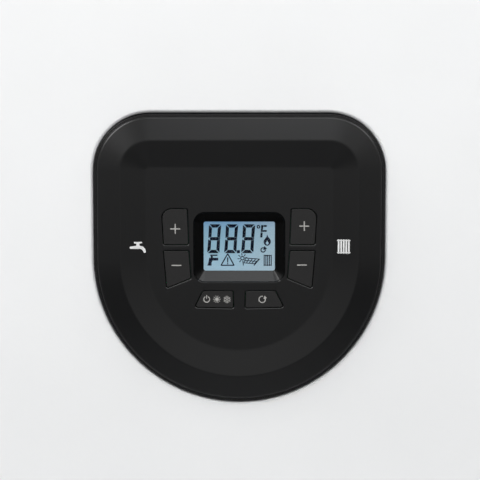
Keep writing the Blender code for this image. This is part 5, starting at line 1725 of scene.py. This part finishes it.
@dataclass
class Fittings:
    """The cable gland in the underside and the flue's collar on top."""

    gland_place: Place = (-0.150, -0.215, -0.640)
    collar_place: Place = (0.0, -0.125, 0.0603)

    def gland(self) -> None:
        """Make the gland's domed nut on its hexagon and thread."""
        dome = [(0.0040, 0.0100), (0.0040, -0.0085), (0.0045, -0.0093), (0.0066, -0.0093), (0.0080, -0.0088),
                (0.0089, -0.0078), (0.0093, -0.0062), (0.0093, -0.0050), (0.0078, -0.0048), (0.0078, -0.0003),
                *thread(0.0080, 0.0, 0.0092, 0.0015, 0.0007), (0.0074, 0.0100), (0.0040, 0.0100)]
        body = Workpiece.turned("cable_gland", self.gland_place, dome, 48, closed=True)
        flats = Workpiece.turned("hexagon", self.gland_place, [
            (0.0100, -0.0049), (0.0110, -0.0043), (0.0110, -0.0009), (0.0100, -0.0003), (0.0060, -0.0003),
            (0.0060, -0.0049), (0.0100, -0.0049)], 6, closed=True)
        body.join([flats])
        body.smooth().dress(DARK, "casing", "cable_gland")

    def collar(self) -> None:
        """Make the flue's collar with its flange and rolled rim."""
        inside, outside, flange, rise = 0.0485, 0.0500, 0.0620, 0.0400
        profile = [(inside, 0.0), (flange - 0.0006, 0.0), (flange, 0.0006), (flange, 0.0022),
                   (flange - 0.0003, 0.0028), (flange - 0.0009, 0.0030), (outside + 0.0016, 0.0030),
                   (outside + 0.0006, 0.0033), (outside + 0.0001, 0.0041), (outside, 0.0052),
                   (outside, rise - 0.0009), (outside - 0.0003, rise - 0.0002), (outside - 0.00075, rise),
                   (inside + 0.0003, rise - 0.0002), (inside, rise - 0.0009), (inside, 0.0)]
        Workpiece.turned("flue_collar", self.collar_place, profile, 72, closed=True).smooth().dress(
            WHITE, "casing", "flue_collar")

    def build(self) -> None:
        """Make both."""
        self.gland()
        self.collar()


@dataclass
class FrontCover:
    """The pressed white cover with its rolled opening."""

    x: Point = (-0.200, 0.200)
    z: Point = (-0.640, 0.060)
    y: Point = (-0.300, -0.260)
    round: float = 0.0065
    lip: float = 0.012
    sheet: float = 0.0012
    roll: float = 0.0018
    clearance: float = 0.0007
    collar: float = 0.009

    def build(self, panel: ControlPanel) -> None:
        """Make the cover.

        Args:
            panel: The panel that its opening goes round.
        """
        front, back = self.y
        at_back = at_depth(back)
        skin = Workpiece.sheet("cover", self.x, self.z, back)
        with editing(skin.piece, whole=True) as mesh:
            bpy.ops.mesh.extrude_region_move(TRANSFORM_OT_translate={"value": (0, front - back, 0)})
            bpy.ops.mesh.select_all(action="DESELECT")
            skin.select(mesh, "edges", lambda edge: not at_back(edge))
            bpy.ops.mesh.bevel(offset_type="OFFSET", offset=self.round, segments=8, profile=0.5,
                               affect="EDGES")
        skin.drop_front(front)
        skin.drop_front(back)
        opening = panel.shield("opening", self.clearance + self.roll, front)
        opening.terrace([*dished(self.roll, 0.0, 90.0, 10), (self.roll, -self.collar)])
        opening.drop_front(front + self.collar)
        skin.join([opening])
        skin.fill_border(at_depth(front))
        skin.weld()
        with editing(skin.piece) as mesh:
            skin.select(mesh, "edges", lambda edge: edge.is_boundary and at_back(edge))
            bpy.ops.mesh.extrude_edges_move(TRANSFORM_OT_translate={"value": (0, 0, 0)})
            width, height = self.x[1] - self.x[0], self.z[1] - self.z[0]
            bpy.ops.transform.resize(value=(1 - 2 * self.lip / width, 1, 1 - 2 * self.lip / height),
                                     center_override=(sum(self.x) / 2, back, sum(self.z) / 2))
        skin.weld()
        skin.modify("SOLIDIFY", thickness=self.sheet, offset=-1.0, use_even_offset=True)
        skin.smooth(28.0).dress(WHITE, "cover", "front_cover")


@dataclass
class Studio:
    """The plain pale room, its light and the camera."""

    look_at: Place = (0.0004, -0.300, -0.4922)
    lit_at: Place = (0.0, -0.2, -0.35)
    span: float = 0.2656
    lens: float = 85.0
    elevation: float = 4.0
    floor_z: float = -1.45

    def camera(self) -> None:
        """Put the camera where the photograph was taken from."""
        data = bpy.data.cameras.new("camera")
        data.lens = self.lens
        distance = self.span / 2 / (data.sensor_width / 2 / self.lens)
        tilt = math.radians(self.elevation)
        back = Vector((0.0, -math.cos(tilt), math.sin(tilt)))
        shot = bpy.data.objects.new("camera", data)
        shot.location = Vector(self.look_at) + back * distance
        shot.rotation_euler = (-back).to_track_quat("-Z", "Y").to_euler()
        bpy.context.collection.objects.link(shot)
        bpy.context.scene.camera = shot
        data.clip_start = 0.01

    def lamp(self, name: str, place: Sequence[float], size: float, power: float, spread: float,
             colour: Colour = (1.0, 1.0, 1.0)) -> None:
        """Hang one soft lamp that faces the boiler.

        Args:
            name: The lamp's name.
            place: Where it hangs.
            size: The length of its sides.
            power: Its power in watts.
            spread: How wide it shines, in degrees.
            colour: Its colour.
        """
        data = bpy.data.lights.new(name, "AREA")
        data.shape = "SQUARE"
        data.size = size
        data.energy = power
        data.spread = math.radians(spread)
        data.color = colour
        made = bpy.data.objects.new(name, data)
        made.location = place
        aim = Vector(self.lit_at) - Vector(place)
        made.rotation_euler = aim.to_track_quat("-Z", "Y").to_euler()
        bpy.context.collection.objects.link(made)

    def world(self) -> None:
        """Light the room softly from all round, and show white behind the boiler."""
        room = bpy.data.worlds.new("room")
        bpy.context.scene.world = room
        room.use_nodes = True
        graph = Graph(room.node_tree)
        way = graph.node("ShaderNodeTexCoord", output="Generated")
        height = graph.node("ShaderNodeSeparateXYZ", None, {0: way}, output=2)
        tone = graph.node("ShaderNodeValToRGB", {"stops": [
            (0.0, (0.14, 0.14, 0.14)), (0.5, (0.25, 0.25, 0.25)), (1.0, (0.37, 0.38, 0.40))]},
            {0: height.ramp(-1.0, 1.0)})
        soft = graph.node("ShaderNodeBackground", None, {"Color": tone, "Strength": 1.0})
        white = graph.node("ShaderNodeBackground", None, {"Color": (1, 1, 1, 1), "Strength": 1.0})
        seen = graph.node("ShaderNodeLightPath", output="Is Camera Ray")
        for kind in ("Glossy", "Transmission"):
            seen += graph.node("ShaderNodeLightPath", output=f"Is {kind} Ray")
        shown = graph.node("ShaderNodeMixShader", None, {0: seen, 1: soft, 2: white})
        graph.finish("World", shown)

    def floor(self) -> None:
        """Lay the pale floor, which can't be seen from below."""
        bpy.ops.mesh.primitive_plane_add(size=14.0, location=(0.0, 0.0, self.floor_z))
        made = bpy.context.active_object
        made.name = "floor"
        material = bpy.data.materials.new("finish_floor")
        material.use_nodes = True
        graph = Graph(material.node_tree)
        matt = graph.node("ShaderNodeBsdfDiffuse", None, {"Color": (0.84, 0.84, 0.84, 1.0)})
        clear = graph.node("ShaderNodeBsdfTransparent")
        below = graph.node("ShaderNodeNewGeometry", output="Backfacing")
        graph.finish("Material", graph.node("ShaderNodeMixShader", None, {0: below, 1: matt, 2: clear}))
        made.data.materials.append(material)

    def build(self) -> None:
        """Set up the room."""
        bpy.context.scene.view_settings.view_transform = "Standard"
        self.camera()
        self.world()
        self.floor()
        self.lamp("lamp_above", (0.25, -1.2, 1.15), 1.0, 14.0, 180.0, (0.96, 0.98, 1.0))
        self.lamp("lamp_left", (-1.5, -0.95, 1.1), 1.3, 12.5, 80.0)
        self.lamp("lamp_right", (1.5, -0.95, 1.1), 1.3, 5.6, 80.0)
        self.lamp("lamp_front", (0.0, -3.0, 0.3), 1.5, 2.5, 180.0)
        self.lamp("lamp_low", (0.0, -2.2, -1.2), 0.7, 0.8, 180.0)
        self.lamp("lamp_behind", (0.4, 1.8, 0.9), 1.4, 10.0, 180.0)


def main() -> None:
    """Build the room, the panel and the rest of the boiler."""
    logging.basicConfig(level=logging.INFO, format="%(message)s")
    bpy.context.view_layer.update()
    Studio().build()
    panel = ControlPanel()
    panel.build()
    FrontCover().build(panel)
    Connections().build()
    Gauge().build()
    Fittings().build()
    for finish, nodes in CARRIED.items():
        for node in nodes:
            carry(node, finish)


if __name__ == "__main__":
    main()
